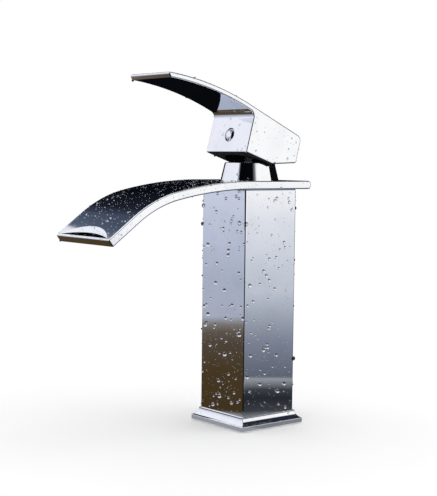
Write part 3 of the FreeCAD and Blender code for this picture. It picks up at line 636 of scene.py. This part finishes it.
@dataclass
class FootFlange(SubAssembly):
    """Square foot with a hollow flare up to the column; sizes in millimetres."""

    node: str = "base_flange"
    largest_drop: float = 0.8
    half_side: float = 24.0
    band: float = 3.1
    height: float = 7.9
    rim: float = 20.7
    flare_radius: float = 5.0
    flare_steps: int = 20
    seat: float = 20.1
    ledge: float = 2.6
    opening: float = 16.0
    groove_inner: float = 19.0
    groove_outer: float = 22.0
    groove_depth: float = 1.6
    edge: float = 0.35
    dry_band: float = 1.0

    def flare(self) -> list[Point]:
        """Return the hollow flare, from the band up to the rim."""
        low, high = Vector((self.half_side, self.band)), Vector((self.rim, self.height))
        chord = high - low
        lift = math.sqrt(self.flare_radius ** 2 - (chord.length / 2) ** 2)
        centre = (low + high) / 2 + Vector((chord.y, -chord.x)).normalized() * lift
        start, end = [math.atan2(p.y - centre.y, p.x - centre.x) % (2 * math.pi) for p in (low, high)]
        return arc((centre.x, centre.y), self.flare_radius, start, end, self.flare_steps)

    def build(self) -> bpy.types.Object:
        """Build the foot.

        Returns:
            The foot's mesh object.
        """
        outside = [(self.half_side, 0.0)] + self.flare()
        inside = [(self.seat, self.height), (self.seat, self.ledge)]
        mesh = square_loft(outside + inside, closed=False)
        bmesh.ops.holes_fill(mesh, edges=mesh.edges)
        piece = new_object("foot_flange", mesh)
        break_edges(piece, self.edge)
        cut(piece, rod(self.opening, -self.height, self.height))
        ring = [(self.groove_inner, -OVERSHOOT), (self.groove_outer, -OVERSHOOT),
                (self.groove_outer, self.groove_depth), (self.groove_inner, self.groove_depth)]
        cut(piece, lathe(ring, HOLE_STEPS))
        return piece

    def wet_shell(self) -> bmesh.types.BMesh:
        """Draw the outside of the foot."""
        return square_loft([(self.half_side, self.dry_band)] + self.flare(), closed=False)


@dataclass
class ColumnShell(SubAssembly):
    """Square tube that stands in the foot; sizes in millimetres."""

    node: str = "column_shell"
    wetness: float = 1.4
    largest_drop: float = 1.6
    half_side: float = 20.0
    wall: float = 2.5
    low: float = 2.6
    high: float = 142.1
    edge: float = 1.0
    dry_foot: float = 6.0

    def build(self) -> bpy.types.Object:
        """Build the column.

        Returns:
            The column's mesh object.
        """
        inside = self.half_side - self.wall
        profile = [(self.half_side, self.low), (self.half_side, self.high),
                   (inside, self.high), (inside, self.low)]
        piece = new_object("column_shell_chromed", square_loft(profile))
        break_edges(piece, self.edge)
        return piece

    def wet_shell(self) -> bmesh.types.BMesh:
        """Draw the outside of the column."""
        wet_from = self.low + self.dry_foot
        return square_loft([(self.half_side, wet_from), (self.half_side, self.high)], closed=False)


@dataclass
class WaterfallSpout(SubAssembly):
    """Hollow plate bent down by two arcs, with an arched mouth behind its lip; sizes in millimetres."""

    node: str = "spout"
    wetness: float = 2.2
    smallest_drop: float = 0.26
    largest_drop: float = 0.8
    dry_behind: float = -20.0
    crease: float = math.radians(8.0)
    half_width: float = 26.25
    thickness: float = 4.9
    top: float = 147.0
    rear: float = 26.3
    rear_radius: float = 2.0
    reach: float = 119.7
    flat_end: float = -20.0
    gentle_radius: float = 260.0
    gentle_angle: float = math.radians(12.0)
    tight_radius: float = 75.0
    tip_angle: float = math.radians(36.0)
    skin: float = 1.3
    side_wall: float = 2.75
    waterway_start: float = -8.0
    lip: float = 1.4
    mouth_half: float = 23.2
    mouth_height: float = 4.0
    scoop_height: float = 8.6
    scoop_depth: float = 0.8
    scoop_steps: int = 256
    neck_hole: float = 15.3
    edge: float = 0.8
    edge_steps: int = 12
    gentle_steps: int = 28
    tight_steps: int = 40
    mouth_steps: int = 48

    def bent_line(self, depth: float, short: float = 0.0) -> list[Point]:
        """Return the bent line at a depth under the top, from the flat to the tip.

        Args:
            depth: Depth under the top face.
            short: How far from the tip the line ends.

        Returns:
            Points from the end of the flat part to the tip.
        """
        quarter = math.pi / 2
        joint, end = quarter + self.gentle_angle, quarter + self.tip_angle
        gentle = (self.flat_end, self.top - self.gentle_radius)
        step = self.gentle_radius - self.tight_radius
        tight = (gentle[0] - step * math.sin(self.gentle_angle), gentle[1] + step * math.cos(self.gentle_angle))
        first = arc(gentle, self.gentle_radius - depth, quarter, joint, self.gentle_steps)
        second = arc(tight, self.tight_radius - depth, joint, end, self.tight_steps)
        top_end = tight[0] - self.tight_radius * math.sin(self.tip_angle)
        run = (self.reach + top_end) / math.cos(self.tip_angle) - short
        last = second[-1]
        tip = (last[0] - run * math.cos(self.tip_angle), last[1] - run * math.sin(self.tip_angle))
        return first + second[1:] + [tip]

    def side_outline(self) -> list[Point]:
        """Return the outline of the plate seen from the side."""
        over, under = self.bent_line(0.0), self.bent_line(self.thickness)
        bottom = self.top - self.thickness
        rear_top, rear_bottom = (self.rear, self.top), (self.rear, bottom)
        upper = rounded_corner(rear_bottom, rear_top, over[0], self.rear_radius)
        lower = rounded_corner(under[0], rear_bottom, rear_top, self.rear_radius)
        return upper + over + under[::-1] + lower

    def at_tip(self, mesh: bmesh.types.BMesh) -> bmesh.types.BMesh:
        """Move a mesh to the tip of the plate.

        Args:
            mesh: Mesh drawn with the tip's edge along X, its top face as the XY plane and +Y up its slope.

        Returns:
            The same mesh, moved.
        """
        turn = Matrix.Translation((0.0, *self.bent_line(0.0)[-1])) @ Matrix.Rotation(self.tip_angle, 4, "X")
        bmesh.ops.transform(mesh, matrix=turn, verts=mesh.verts)
        return mesh

    def mouth(self) -> bmesh.types.BMesh:
        """Draw the arched opening behind the lip.

        Returns:
            The drawn mesh, in millimetres.
        """
        radius = arch_radius(self.mouth_half, self.mouth_height)
        spread = math.asin(self.mouth_half / radius)
        centre = (0.0, self.lip + self.mouth_height - radius)
        arch = arc(centre, radius, math.pi / 2 - spread, math.pi / 2 + spread, self.mouth_steps)
        return self.at_tip(upright_prism(arch, -self.thickness / 2, self.thickness / 2))

    def scoop(self) -> bmesh.types.BMesh:
        """Draw the shallow conical scoop round the mouth, which stops at the lip.

        Returns:
            The drawn mesh, in millimetres.
        """
        outer = arch_radius(self.mouth_half, self.scoop_height)
        inner = outer - self.scoop_height + self.mouth_height
        profile = [(inner, -self.scoop_depth), (outer, 0.0), (outer, OVERSHOOT), (inner, OVERSHOOT)]
        mesh = lathe(profile, self.scoop_steps)
        bmesh.ops.translate(mesh, vec=(0.0, self.lip + self.scoop_height - outer, 0.0), verts=mesh.verts)
        everything = [*mesh.verts, *mesh.edges, *mesh.faces]
        bmesh.ops.bisect_plane(mesh, geom=everything, plane_co=(0.0, self.lip, 0.0),
                               plane_no=(0.0, -1.0, 0.0), clear_outer=True)
        bmesh.ops.holes_fill(mesh, edges=mesh.edges)
        return self.at_tip(mesh)

    def build(self) -> bpy.types.Object:
        """Build the spout.

        Returns:
            The spout's mesh object.
        """
        piece = new_object("waterfall_spout", prism(self.side_outline(), self.half_width))
        break_edges(piece, self.edge, self.edge_steps)
        roof = self.bent_line(self.skin, self.lip)
        floor = self.bent_line(self.thickness - self.skin, self.lip)
        bottom = self.top - self.thickness
        start = [(self.waterway_start, self.top - self.skin)]
        end = [(self.waterway_start, bottom + self.skin)]
        waterway = prism(start + roof + floor[::-1] + end, self.half_width - self.side_wall)
        # The waterway, neck hole and mouth are lined with bare brass darkened to near black as painted shade
        cut(piece, waterway, Skin.CAST_PAINTED_SHADE)
        cut(piece, rod(self.neck_hole, bottom - OVERSHOOT, self.top + OVERSHOOT), Skin.CAST_PAINTED_SHADE)
        cut(piece, self.scoop())
        cut(piece, self.mouth(), Skin.CAST_PAINTED_SHADE)
        return piece

    def wet_shell(self) -> bmesh.types.BMesh:
        """Draw the outside of the plate."""
        return prism(self.side_outline(), self.half_width)


@dataclass
class TaperedCover(SubAssembly):
    """Tapered cover between spout and lever; sizes in millimetres."""

    node: str = "cone_cover"
    wetness: float = 0.8
    base_radius: float = 17.5
    top_radius: float = 15.0
    low: float = 147.0
    high: float = 157.5
    wall: float = 1.5
    opening: float = 11.0
    bore: float = 15.3
    bore_top: float = 152.4
    rim: float = 0.5
    rim_steps: int = 5
    steps: int = 128
    dry_top: float = 3.0
    wet_steps: int = 48

    def build(self) -> bpy.types.Object:
        """Build the cover.

        Returns:
            The cover's mesh object.
        """
        foot, shoulder = (self.base_radius, self.low), (self.top_radius, self.high)
        crown = (self.opening, self.high)
        rim = rounded_corner(foot, shoulder, crown, self.rim, self.rim_steps)
        ceiling = self.high - self.wall
        inside = [crown, (self.opening, ceiling), (self.top_radius - self.wall, ceiling),
                  (self.bore, self.bore_top), (self.bore, self.low)]
        return new_object("tapered_cover", lathe([foot] + rim + inside, self.steps))

    def wet_shell(self) -> bmesh.types.BMesh:
        """Draw the outside of the cover."""
        profile = [(self.base_radius, self.low), (self.top_radius, self.high - self.dry_top)]
        return lathe(profile, self.wet_steps, closed=False)


@dataclass(frozen=True)
class LeverPlace:
    """Where the raised lever stands: its pin and how far it leans back."""

    pivot: float = 150.0
    lean: float = math.radians(15.4)

    def put(self, mesh: bmesh.types.BMesh) -> bmesh.types.BMesh:
        """Move a mesh drawn in the lever's own frame to its place on the tap.

        Args:
            mesh: Mesh in millimetres, drawn with the lever upright on its pin.

        Returns:
            The same mesh, moved.
        """
        turn = Matrix.Translation((0.0, 0.0, self.pivot)) @ Matrix.Rotation(-self.lean, 4, "X")
        bmesh.ops.transform(mesh, matrix=turn, verts=mesh.verts)
        return mesh


@dataclass
class LeverHandle(SubAssembly):
    """Lever: a block over the cover and a thin blade bent over at its tip; sizes in millimetres."""

    node: str = "lever_handle"
    body: Body = Body.LEVER
    wetness: float = 1.8
    largest_drop: float = 0.9
    place: LeverPlace = LeverPlace()
    half_width: float = 18.75
    front: float = 21.7
    rear: float = 18.0
    front_bottom: float = 8.0
    heel: Point = (-0.3, 6.9)
    rear_bottom: float = 12.7
    rear_top: float = 28.8
    rise: float = math.radians(8.8)
    blade_straight: float = 26.0
    blade_radius: float = 190.0
    blade_thickness: float = 3.0
    blade_reach: float = 88.3
    blade_undercut: float = 2.8
    tip_radius: float = 0.85
    tip_edge: float = math.radians(60.0)
    corner_radius: float = 4.0
    pocket_radius: float = 16.4
    pocket_place: float = -0.9
    pocket_low: float = -5.0
    pocket_top: float = 15.0
    plug_height: float = 18.8
    plug_radius: float = 4.2
    plug_depth: float = 4.0
    plug_steps: int = 64
    edge: float = 1.0
    blade_steps: int = 48
    facing_down: float = -0.9

    def blade_line(self, depth: float) -> list[Point]:
        """Return the blade's bent line at a depth under its top, from the straight to the tip."""
        straight_height = self.rear_top + (self.rear + self.blade_straight) * math.tan(self.rise)
        across = -self.blade_straight - self.blade_radius * math.sin(self.rise)
        centre = (across, straight_height - self.blade_radius * math.cos(self.rise))
        end = -self.blade_reach + self.blade_undercut * depth / self.blade_thickness
        radius = self.blade_radius - depth
        start_angle = math.pi / 2 - self.rise
        return arc(centre, radius, start_angle, math.acos((end - centre[0]) / radius), self.blade_steps)

    def side_outline(self) -> list[Point]:
        """Return the outline of the lever seen from the side, upright on its pin."""
        over, under = self.blade_line(0.0), self.blade_line(self.blade_thickness)
        front_top = self.rear_top + (self.rear + self.front) * math.tan(self.rise)
        neck = (-self.front, front_top - self.blade_thickness / math.cos(self.rise))
        front_foot = (-self.front, self.front_bottom)
        rear_foot, rear_head = (self.rear, self.rear_bottom), (self.rear, self.rear_top)
        head = rounded_corner(rear_foot, rear_head, over[0], self.corner_radius)
        throat = rounded_corner(under[0], neck, front_foot, self.corner_radius)
        tip = rounded_corner(over[-4], over[-1], under[-1], self.tip_radius)
        return [front_foot, self.heel, rear_foot] + head + over[:-3] + tip + under[::-1] + throat

    def build(self) -> bpy.types.Object:
        """Build the lever.

        Returns:
            The lever's mesh object.
        """
        block = prism(self.side_outline(), self.half_width)
        bmesh.ops.recalc_face_normals(block, faces=block.faces)
        for face in block.faces:
            # The casting is polished and plated where it is seen, and left bare under the block, where its lining
            # is darkened to near black as painted shade
            if face.normal.z < self.facing_down and face.calc_center_median().z < self.rear_bottom:
                face.material_index = Skin.CAST_PAINTED_SHADE.value
        piece = new_object("lever_handle_chromed", self.place.put(block))
        break_edges(piece, self.edge, sharp=self.tip_edge)
        # The pocket over the cover is lined with bare brass darkened to near black as painted shade
        pocket = rod(self.pocket_radius, self.pocket_low, self.pocket_top)
        bmesh.ops.translate(pocket, vec=(0.0, self.pocket_place, 0.0), verts=pocket.verts)
        cut(piece, self.place.put(pocket), Skin.CAST_PAINTED_SHADE)
        plug_floor = self.front - self.plug_depth
        hole = rod(self.plug_radius, plug_floor, self.front + 2 * OVERSHOOT, self.plug_steps)
        cut(piece, self.place.put(lay_forward(hole, self.plug_height)))
        return piece

    def wet_shell(self) -> bmesh.types.BMesh:
        """Draw the outside of the lever."""
        return self.place.put(prism(self.side_outline(), self.half_width))


def lay_forward(mesh: bmesh.types.BMesh, height: float) -> bmesh.types.BMesh:
    """Turn an upright form so that its top faces the front.

    Args:
        mesh: The drawn form, in millimetres.
        height: Height of its axis after the turn.

    Returns:
        The same mesh, turned.
    """
    turn = Matrix.Translation((0.0, 0.0, height)) @ Matrix.Rotation(math.pi / 2, 4, "X")
    bmesh.ops.transform(mesh, matrix=turn, verts=mesh.verts)
    return mesh


@dataclass
class IndexPlug(SubAssembly):
    """Round plug in the lever's face, with a domed front; sizes in millimetres."""

    node: str = "index_plug"
    body: Body = Body.LEVER
    place: LeverPlace = LeverPlace()
    radius: float = 4.1
    face: float = 22.8
    depth: float = 5.1
    height: float = 18.8
    edge: float = 3.2
    steps: int = 64
    dome_steps: int = 20

    def build(self) -> bpy.types.Object:
        """Build the plug.

        Returns:
            The plug's mesh object.
        """
        floor = self.face - self.depth
        centre = (self.radius - self.edge, self.face - self.edge)
        dome = arc(centre, self.edge, 0.0, math.pi / 2, self.dome_steps)
        mesh = lathe([(self.radius, floor)] + dome, self.steps, closed=False)
        bmesh.ops.holes_fill(mesh, edges=mesh.edges)
        return new_object("index_plug_chromed", self.place.put(lay_forward(mesh, self.height)))


@dataclass
class WaterDrops:
    """Drops that lie on the pieces of one body, spread by a node tree; sizes in millimetres."""

    name: str
    body: Body
    seed: int
    per_cm2: float = 9.0
    spacing: float = 0.9
    flatness: float = 0.6
    lowest_slope: float = -0.25
    patch: float = 26.0
    patch_range: Point = (0.32, 0.68)
    driest: float = 0.15
    rarity: float = 7.0
    ball_segments: int = 8
    ball_rings: int = 6

    def carrier(self, pieces: list[SubAssembly]) -> bpy.types.Object:
        """Join the wet outsides of the pieces, each with its own wetness and radii of drops.

        Args:
            pieces: Pieces of one body.

        Returns:
            An object that only carries the drops.
        """
        joined = bmesh.new()
        layers = {label: joined.faces.layers.float.new(label.value) for label in Wet}
        for piece in pieces:
            shell = piece.wet_shell()
            bmesh.ops.recalc_face_normals(shell, faces=shell.faces)
            values = {Wet.SMALLEST: piece.smallest_drop * MM, Wet.LARGEST: piece.largest_drop * MM}
            for face in shell.faces:
                copy = joined.faces.new([joined.verts.new(vert.co) for vert in face.verts])
                wet = face.calc_center_median().y < piece.dry_behind
                copy[layers[Wet.AMOUNT]] = piece.wetness if wet else 0.0
                for label, value in values.items():
                    copy[layers[label]] = value
            shell.free()
        bmesh.ops.scale(joined, vec=(MM, MM, MM), verts=joined.verts)
        return link_mesh(self.name, joined)

    def tree(self) -> tuple[bpy.types.NodeTree, dict[str, str]]:
        """Build the node tree that spreads drops over a surface.

        Returns:
            The tree, and the identifier of each named input.
        """
        tree = bpy.data.node_groups.new(f"{self.name}_tree", "GeometryNodeTree")
        face = tree.interface
        face.new_socket("Geometry", in_out="OUTPUT", socket_type="NodeSocketGeometry")
        face.new_socket("Geometry", in_out="INPUT", socket_type="NodeSocketGeometry")
        named = {}
        kinds = {"Density": "Float", "Spacing": "Float", "Flatness": "Float", "Lowest slope": "Float",
                 "Patch scale": "Float", "Seed": "Int", "Material": "Material"}
        for label, kind in kinds.items():
            socket = face.new_socket(label, in_out="INPUT", socket_type=f"NodeSocket{kind}")
            named[label] = socket.identifier
        given = add_node(tree, "NodeGroupInput").outputs
        stored = {}
        for label in Wet:
            reader = add_node(tree, "GeometryNodeInputNamedAttribute", {"Name": label.value}, data_type="FLOAT")
            stored[label] = reader.outputs["Attribute"]
        normal = add_node(tree, "GeometryNodeInputNormal")
        parts = add_node(tree, "ShaderNodeSeparateXYZ", {0: normal.outputs[0]})
        upward = add_node(tree, "FunctionNodeCompare", {0: parts.outputs["Z"], 1: given["Lowest slope"]},
                          data_type="FLOAT", operation="GREATER_THAN")
        patches = add_node(tree, "ShaderNodeTexNoise", {"Scale": given["Patch scale"], "Detail": 2.0})
        gathered = add_node(tree, "ShaderNodeMapRange",
                            {"Value": patches.outputs[0], "From Min": self.patch_range[0],
                             "From Max": self.patch_range[1], "To Min": self.driest, "To Max": 1.0})
        amount = add_node(tree, "ShaderNodeMath", {0: stored[Wet.AMOUNT], 1: gathered.outputs["Result"]},
                          operation="MULTIPLY")
        points = add_node(tree, "GeometryNodeDistributePointsOnFaces",
                          {"Mesh": given["Geometry"], "Selection": upward.outputs[0],
                           "Distance Min": given["Spacing"], "Density Max": given["Density"],
                           "Density Factor": amount.outputs[0], "Seed": given["Seed"]},
                          distribute_method="POISSON")
        chance = add_node(tree, "FunctionNodeRandomValue", {"Seed": given["Seed"]}, data_type="FLOAT")
        rare = add_node(tree, "ShaderNodeMath", {0: chance.outputs[1], 1: self.rarity}, operation="POWER")
        radius = add_node(tree, "ShaderNodeMapRange",
                          {"Value": rare.outputs[0], "To Min": stored[Wet.SMALLEST],
                           "To Max": stored[Wet.LARGEST]})
        ball = add_node(tree, "GeometryNodeMeshUVSphere",
                        {"Segments": self.ball_segments, "Rings": self.ball_rings, "Radius": 1.0})
        squat = add_node(tree, "ShaderNodeCombineXYZ", {"X": 1.0, "Y": 1.0, "Z": given["Flatness"]})
        drop = add_node(tree, "GeometryNodeTransform",
                        {"Geometry": ball.outputs["Mesh"], "Scale": squat.outputs[0]})
        smooth = add_node(tree, "GeometryNodeSetShadeSmooth", {"Geometry": drop.outputs[0]})
        laid = add_node(tree, "GeometryNodeInstanceOnPoints",
                        {"Points": points.outputs["Points"], "Instance": smooth.outputs[0],
                         "Rotation": points.outputs["Rotation"], "Scale": radius.outputs["Result"]})
        real = add_node(tree, "GeometryNodeRealizeInstances", {"Geometry": laid.outputs[0]})
        finished = add_node(tree, "GeometryNodeSetMaterial",
                            {"Geometry": real.outputs[0], "Material": given["Material"]})
        add_node(tree, "NodeGroupOutput", {0: finished.outputs[0]})
        return tree, named

    def build(self, pieces: list[SubAssembly], material: bpy.types.Material) -> bpy.types.Object:
        """Spread the drops and turn them into a plain mesh.

        Args:
            pieces: Pieces of one body.
            material: The water's material.

        Returns:
            The drops' mesh object.
        """
        drops = self.carrier(pieces)
        tree, named = self.tree()
        change = drops.modifiers.new("drops", "NODES")
        change.node_group = tree
        values = {"Density": self.per_cm2 * 1e4, "Spacing": self.spacing * MM, "Flatness": self.flatness,
                  "Lowest slope": self.lowest_slope, "Patch scale": pattern_scale(self.patch),
                  "Seed": self.seed, "Material": material}
        for label, value in values.items():
            change[named[label]] = value
        settle(drops)
        bpy.data.node_groups.remove(tree)
        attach(drops, self.body.value)
        log.info("%s: %d faces on %s", drops.name, len(drops.data.polygons), self.body.value)
        return drops


@dataclass
class InnerWorks:
    """The inner parts, which keep the frame's own shapes and get real finishes."""

    replaced: set[str]

    def dress(self, nodes: dict[str, bpy.types.Object], chrome: bpy.types.Material) -> None:
        """Give every inner part the finish of its slot.

        Args:
            nodes: Objects of the frame, by node name.
            chrome: The chrome finish, for a chromed part that keeps its own shape.
        """
        made: dict[str, bpy.types.Material] = {Slot.CHROME.value: chrome}
        for slot, finish in INNER_FINISHES.items():
            made[slot.value] = finish.material()
        for name, node in sorted(nodes.items()):
            if name in self.replaced:
                continue
            for place in node.material_slots:
                slot_name = place.material.name.split(".")[0]
                place.material = made[slot_name]
            log.info("%s: dressed as %s", name, [place.material.name for place in node.material_slots])


class Grading(Enum):
    """How the colours of a studio card are laid out."""

    UP = "up"
    OUT = "out"
    ROUND = "round"


@dataclass(frozen=True)
class StudioCard:
    """A curved card or a mat that only the metal and the water mirror.

    Angles are degrees to the right of the camera, seen from the tap. The stops of a card that is graded
    upwards are heights and those of a mat are distances from the tap, both in metres, and the stops of a
    card that is graded round the tap are angles.
    """

    name: str
    left: float
    right: float
    grading: Grading
    stops: tuple[Stop, ...]
    low: float = 0.0
    high: float = 2.4
    radius: float = 1.5
    steps: int = 24

    def material(self) -> bpy.types.Material:
        """Build the card's graded finish.

        Returns:
            The card's material.
        """
        material = bpy.data.materials.new(f"{self.name}_finish")
        material.use_nodes = True
        tree = material.node_tree
        tree.nodes.clear()
        place = add_node(tree, "ShaderNodeTexCoord").outputs["UV"]
        parts = add_node(tree, "ShaderNodeSeparateXYZ", {0: place})
        along = parts.outputs["X" if self.grading is Grading.ROUND else "Y"]
        ramp = add_node(tree, "ShaderNodeValToRGB", {"Fac": along})
        first, last = self.stops[0][0], self.stops[-1][0]
        set_stops(ramp, [((at - first) / (last - first), colour) for at, colour in self.stops])
        glow = add_node(tree, "ShaderNodeEmission", {"Color": ramp.outputs["Color"]})
        add_node(tree, "ShaderNodeOutputMaterial", {"Surface": glow.outputs[0]})
        return material

    def rails(self) -> list[tuple[float, float]]:
        """Return the distance and the height of the card's two long edges."""
        first, last = self.stops[0][0], self.stops[-1][0]
        if self.grading is Grading.OUT:
            return [(first, MAT_HEIGHT), (last, MAT_HEIGHT)]
        if self.grading is Grading.UP:
            return [(self.radius, first), (self.radius, last)]
        return [(self.radius, self.low), (self.radius, self.high)]

    def build(self, camera_side: float) -> bpy.types.Object:
        """Build the card.

        Args:
            camera_side: Direction of the camera in the plan, in degrees from +X.

        Returns:
            The card's object.
        """
        shares = [step / self.steps for step in range(self.steps + 1)]
        turns = [math.radians(camera_side + self.left + (self.right - self.left) * share) for share in shares]
        mesh = bmesh.new()
        chart = mesh.loops.layers.uv.new("along")
        rows = [[mesh.verts.new((far * math.cos(t), far * math.sin(t), high)) for t in turns]
                for far, high in self.rails()]
        for step in range(self.steps):
            face = mesh.faces.new((rows[0][step], rows[0][step + 1], rows[1][step + 1], rows[1][step]))
            ends = [(shares[step], 0.0), (shares[step + 1], 0.0), (shares[step + 1], 1.0), (shares[step], 1.0)]
            for loop, end in zip(face.loops, ends):
                loop[chart].uv = end
        card = link_mesh(self.name, mesh, [self.material()])
        card.visible_camera = False
        card.visible_diffuse = False
        card.visible_shadow = False
        return card


CARDS = (
    StudioCard("left_card", -142.5, -54.0, Grading.UP,
               ((0.0, "#B9C0D4"), (0.13, "#D0D6E8"), (0.5, "#EEF0FA"), (2.4, "#FFFFFF"))),
    StudioCard("front_card", -54.0, 30.0, Grading.ROUND,
               ((-54.0, "#EEF0FA"), (-49.0, "#8E929C"), (-44.0, "#060608"), (12.0, "#08080A"),
                (22.0, "#7C7F86"), (30.0, "#FFFFFF"))),
    StudioCard("right_card", 30.0, 77.0, Grading.UP,
               ((0.0, "#F4F6FA"), (0.05, "#FFFFFF"), (0.85, "#FFFFFF"), (1.0, "#1C1E25"),
                (4.0, "#16181F"))),
    StudioCard("side_card", 77.0, 96.0, Grading.UP,
               ((0.0, "#D6DAE3"), (0.05, "#E3E5EC"), (0.13, "#FFFFFF"), (0.85, "#FFFFFF"),
                (1.0, "#1C1E25"), (4.0, "#16181F"))),
    StudioCard("back_card", 96.0, 208.0, Grading.UP,
               ((0.0, "#0A0C12"), (0.6, "#0A0C12"), (0.95, "#151922"), (1.2, "#242936"),
                (1.7, "#242936"), (4.0, "#16181F"))),
    StudioCard("fading_card", -152.0, -142.5, Grading.ROUND,
               ((-152.0, "#242936"), (-147.0, "#383E4F"), (-145.0, "#475165"),
                (-143.9, "#565F74"), (-143.65, "#E4E8F2"), (-142.5, "#F6F8FD"))),
    StudioCard("left_mat", -142.5, -48.0, Grading.OUT,
               ((0.02, "#94989F"), (0.045, "#94989F"), (0.055, "#42341F"), (0.2, "#483B25"),
                (0.33, "#50453A"), (0.4, "#60564D"), (0.45, "#7A756F"), (0.51, "#A8AFC0"),
                (1.0, "#ADB4C7"), (1.5, "#B9C0D4"))),
    StudioCard("front_mat", -48.0, 20.0, Grading.OUT,
               ((0.02, "#94989F"), (0.06, "#94989F"), (0.075, "#141416"), (1.5, "#060608"))),
    StudioCard("right_mat", 20.0, 96.0, Grading.OUT,
               ((0.02, "#7E8187"), (0.045, "#7E8187"), (0.06, "#3B3E44"), (0.1, "#26292E"),
                (0.13, "#3C4047"), (0.17, "#969AA1"), (0.178, "#5F6573"), (0.35, "#7F8696"),
                (0.6, "#AEB4C0"), (0.75, "#C2C8D3"), (1.5, "#D6DAE3"))),
    StudioCard("back_mat", 96.0, 217.5, Grading.OUT,
               ((0.02, "#7E8187"), (0.06, "#3B3E44"), (0.22, "#08090D"), (1.5, "#0A0C12"))),
)


@dataclass
class Studio:
    """Pale floor, soft light and the cards that the chrome mirrors."""

    camera_side: float
    floor_half: float = 8.0
    floor_light: str = "#FFFFFF"
    floor_dark: str = "#FEFEFE"
    floor_roughness: float = 0.9
    mottle_mm: float = 120.0
    mottle_tint: Point = (0.4, 0.6)
    softbox_watts: float = 2.0
    softbox_size: float = 1.2
    softbox_place: tuple[float, float, float] = (0.5, 0.6, 1.6)

    def floor(self) -> None:
        """Lay the pale matt floor."""
        mesh = bmesh.new()
        bmesh.ops.create_grid(mesh, x_segments=1, y_segments=1, size=self.floor_half)
        bmesh.ops.translate(mesh, vec=(0.0, 0.0, -FLOOR_DROP), verts=mesh.verts)
        material, shader = new_material("matt_painted_board")
        tree = material.node_tree
        place = add_node(tree, "ShaderNodeTexCoord").outputs["Object"]
        mottle = add_node(tree, "ShaderNodeTexNoise", {"Vector": place, "Scale": pattern_scale(self.mottle_mm)})
        tint = add_node(tree, "ShaderNodeValToRGB", {"Fac": mottle.outputs["Fac"]})
        set_stops(tint, zip(self.mottle_tint, (self.floor_dark, self.floor_light)))
        feed(tree, shader, {"Base Color": tint.outputs["Color"], "Roughness": self.floor_roughness,
                            "Specular IOR Level": 0.0})
        link_mesh("studio_floor", mesh, [material])

    def surroundings(self) -> None:
        """Set the plain white surroundings."""
        world = bpy.data.worlds.new("white_surroundings")
        world.use_nodes = True
        tree = world.node_tree
        tree.nodes.clear()
        white = add_node(tree, "ShaderNodeBackground", {"Color": linear("#FFFFFF"), "Strength": 1.0})
        add_node(tree, "ShaderNodeOutputWorld", {"Surface": white.outputs[0]})
        bpy.context.scene.world = world

    def softbox(self) -> None:
        """Hang one large soft light to the right and above, which gives the floor its shadow."""
        light = bpy.data.lights.new("softbox", "AREA")
        light.shape = "DISK"
        light.size = self.softbox_size
        light.energy = self.softbox_watts
        lamp = bpy.data.objects.new("softbox", light)
        lamp.location = self.softbox_place
        lamp.rotation_euler = (-lamp.location).to_track_quat("-Z", "Y").to_euler()
        bpy.context.scene.collection.objects.link(lamp)

    def build(self) -> None:
        """Build the floor, the light and the cards."""
        self.floor()
        self.surroundings()
        self.softbox()
        for card in CARDS:
            card.build(self.camera_side)
        log.info("studio: %d cards", len(CARDS))


@dataclass(frozen=True)
class PhotoCamera:
    """Camera at the photograph's viewing angle; lengths in millimetres and angles in degrees."""

    eye: tuple[float, float, float] = (550.4, -474.7, 159.2)
    azimuth: float = 50.66
    elevation: float = 4.21
    roll: float = 0.64
    focal_pixels: float = 1203.9
    image_height: int = 496
    sensor: float = 36.0
    nearest: float = 10.0
    farthest: float = 50000.0

    def build(self) -> bpy.types.Object:
        """Make the camera and take it into use.

        Returns:
            The camera object.
        """
        turn, tilt, roll = (math.radians(angle) for angle in (self.azimuth, self.elevation, self.roll))
        right = Vector((math.cos(turn), math.sin(turn), 0.0))
        back = Vector((math.sin(turn) * math.cos(tilt), -math.cos(turn) * math.cos(tilt), math.sin(tilt)))
        up = back.cross(right)
        across = right * math.cos(roll) + up * math.sin(roll)
        upward = up * math.cos(roll) - right * math.sin(roll)
        data = bpy.data.cameras.new("photo_camera")
        data.sensor_width = self.sensor
        data.lens = self.focal_pixels * self.sensor / self.image_height
        data.clip_start = self.nearest * MM
        data.clip_end = self.farthest * MM
        camera = bpy.data.objects.new("photo_camera", data)
        columns = Matrix((across, upward, back)).transposed().to_4x4()
        camera.matrix_world = Matrix.Translation(Vector(self.eye) * MM) @ columns
        bpy.context.scene.collection.objects.link(camera)
        bpy.context.scene.camera = camera
        return camera


def main() -> None:
    """Build, dress and light the tap."""
    logging.basicConfig(level=logging.INFO, format="%(name)s: %(message)s")
    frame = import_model()
    bpy.context.scene.view_settings.view_transform = "Standard"
    chrome = PolishedChrome().material()
    water = ClearWater().material()
    skins = {Skin.PLATED: chrome, Skin.CAST_PAINTED_SHADE: CAST_BRASS_PAINTED_SHADE.material()}
    fixed: list[SubAssembly] = [FootFlange(), ColumnShell(), WaterfallSpout(), TaperedCover()]
    lever = LeverHandle()
    plug = IndexPlug()
    for piece in [*fixed, lever, plug]:
        piece.dress(piece.build(), skins)
    WaterDrops("drops_on_tap", Body.TAP, 11).build(fixed, water)
    WaterDrops("drops_on_lever", Body.LEVER, 23).build([lever], water)
    replaced = {piece.node for piece in [*fixed, lever, plug]}
    InnerWorks(replaced).dress(frame["nodes"], chrome)
    camera = PhotoCamera()
    camera.build()
    Studio(camera.azimuth - 90.0).build()


if __name__ == "__main__":
    main()
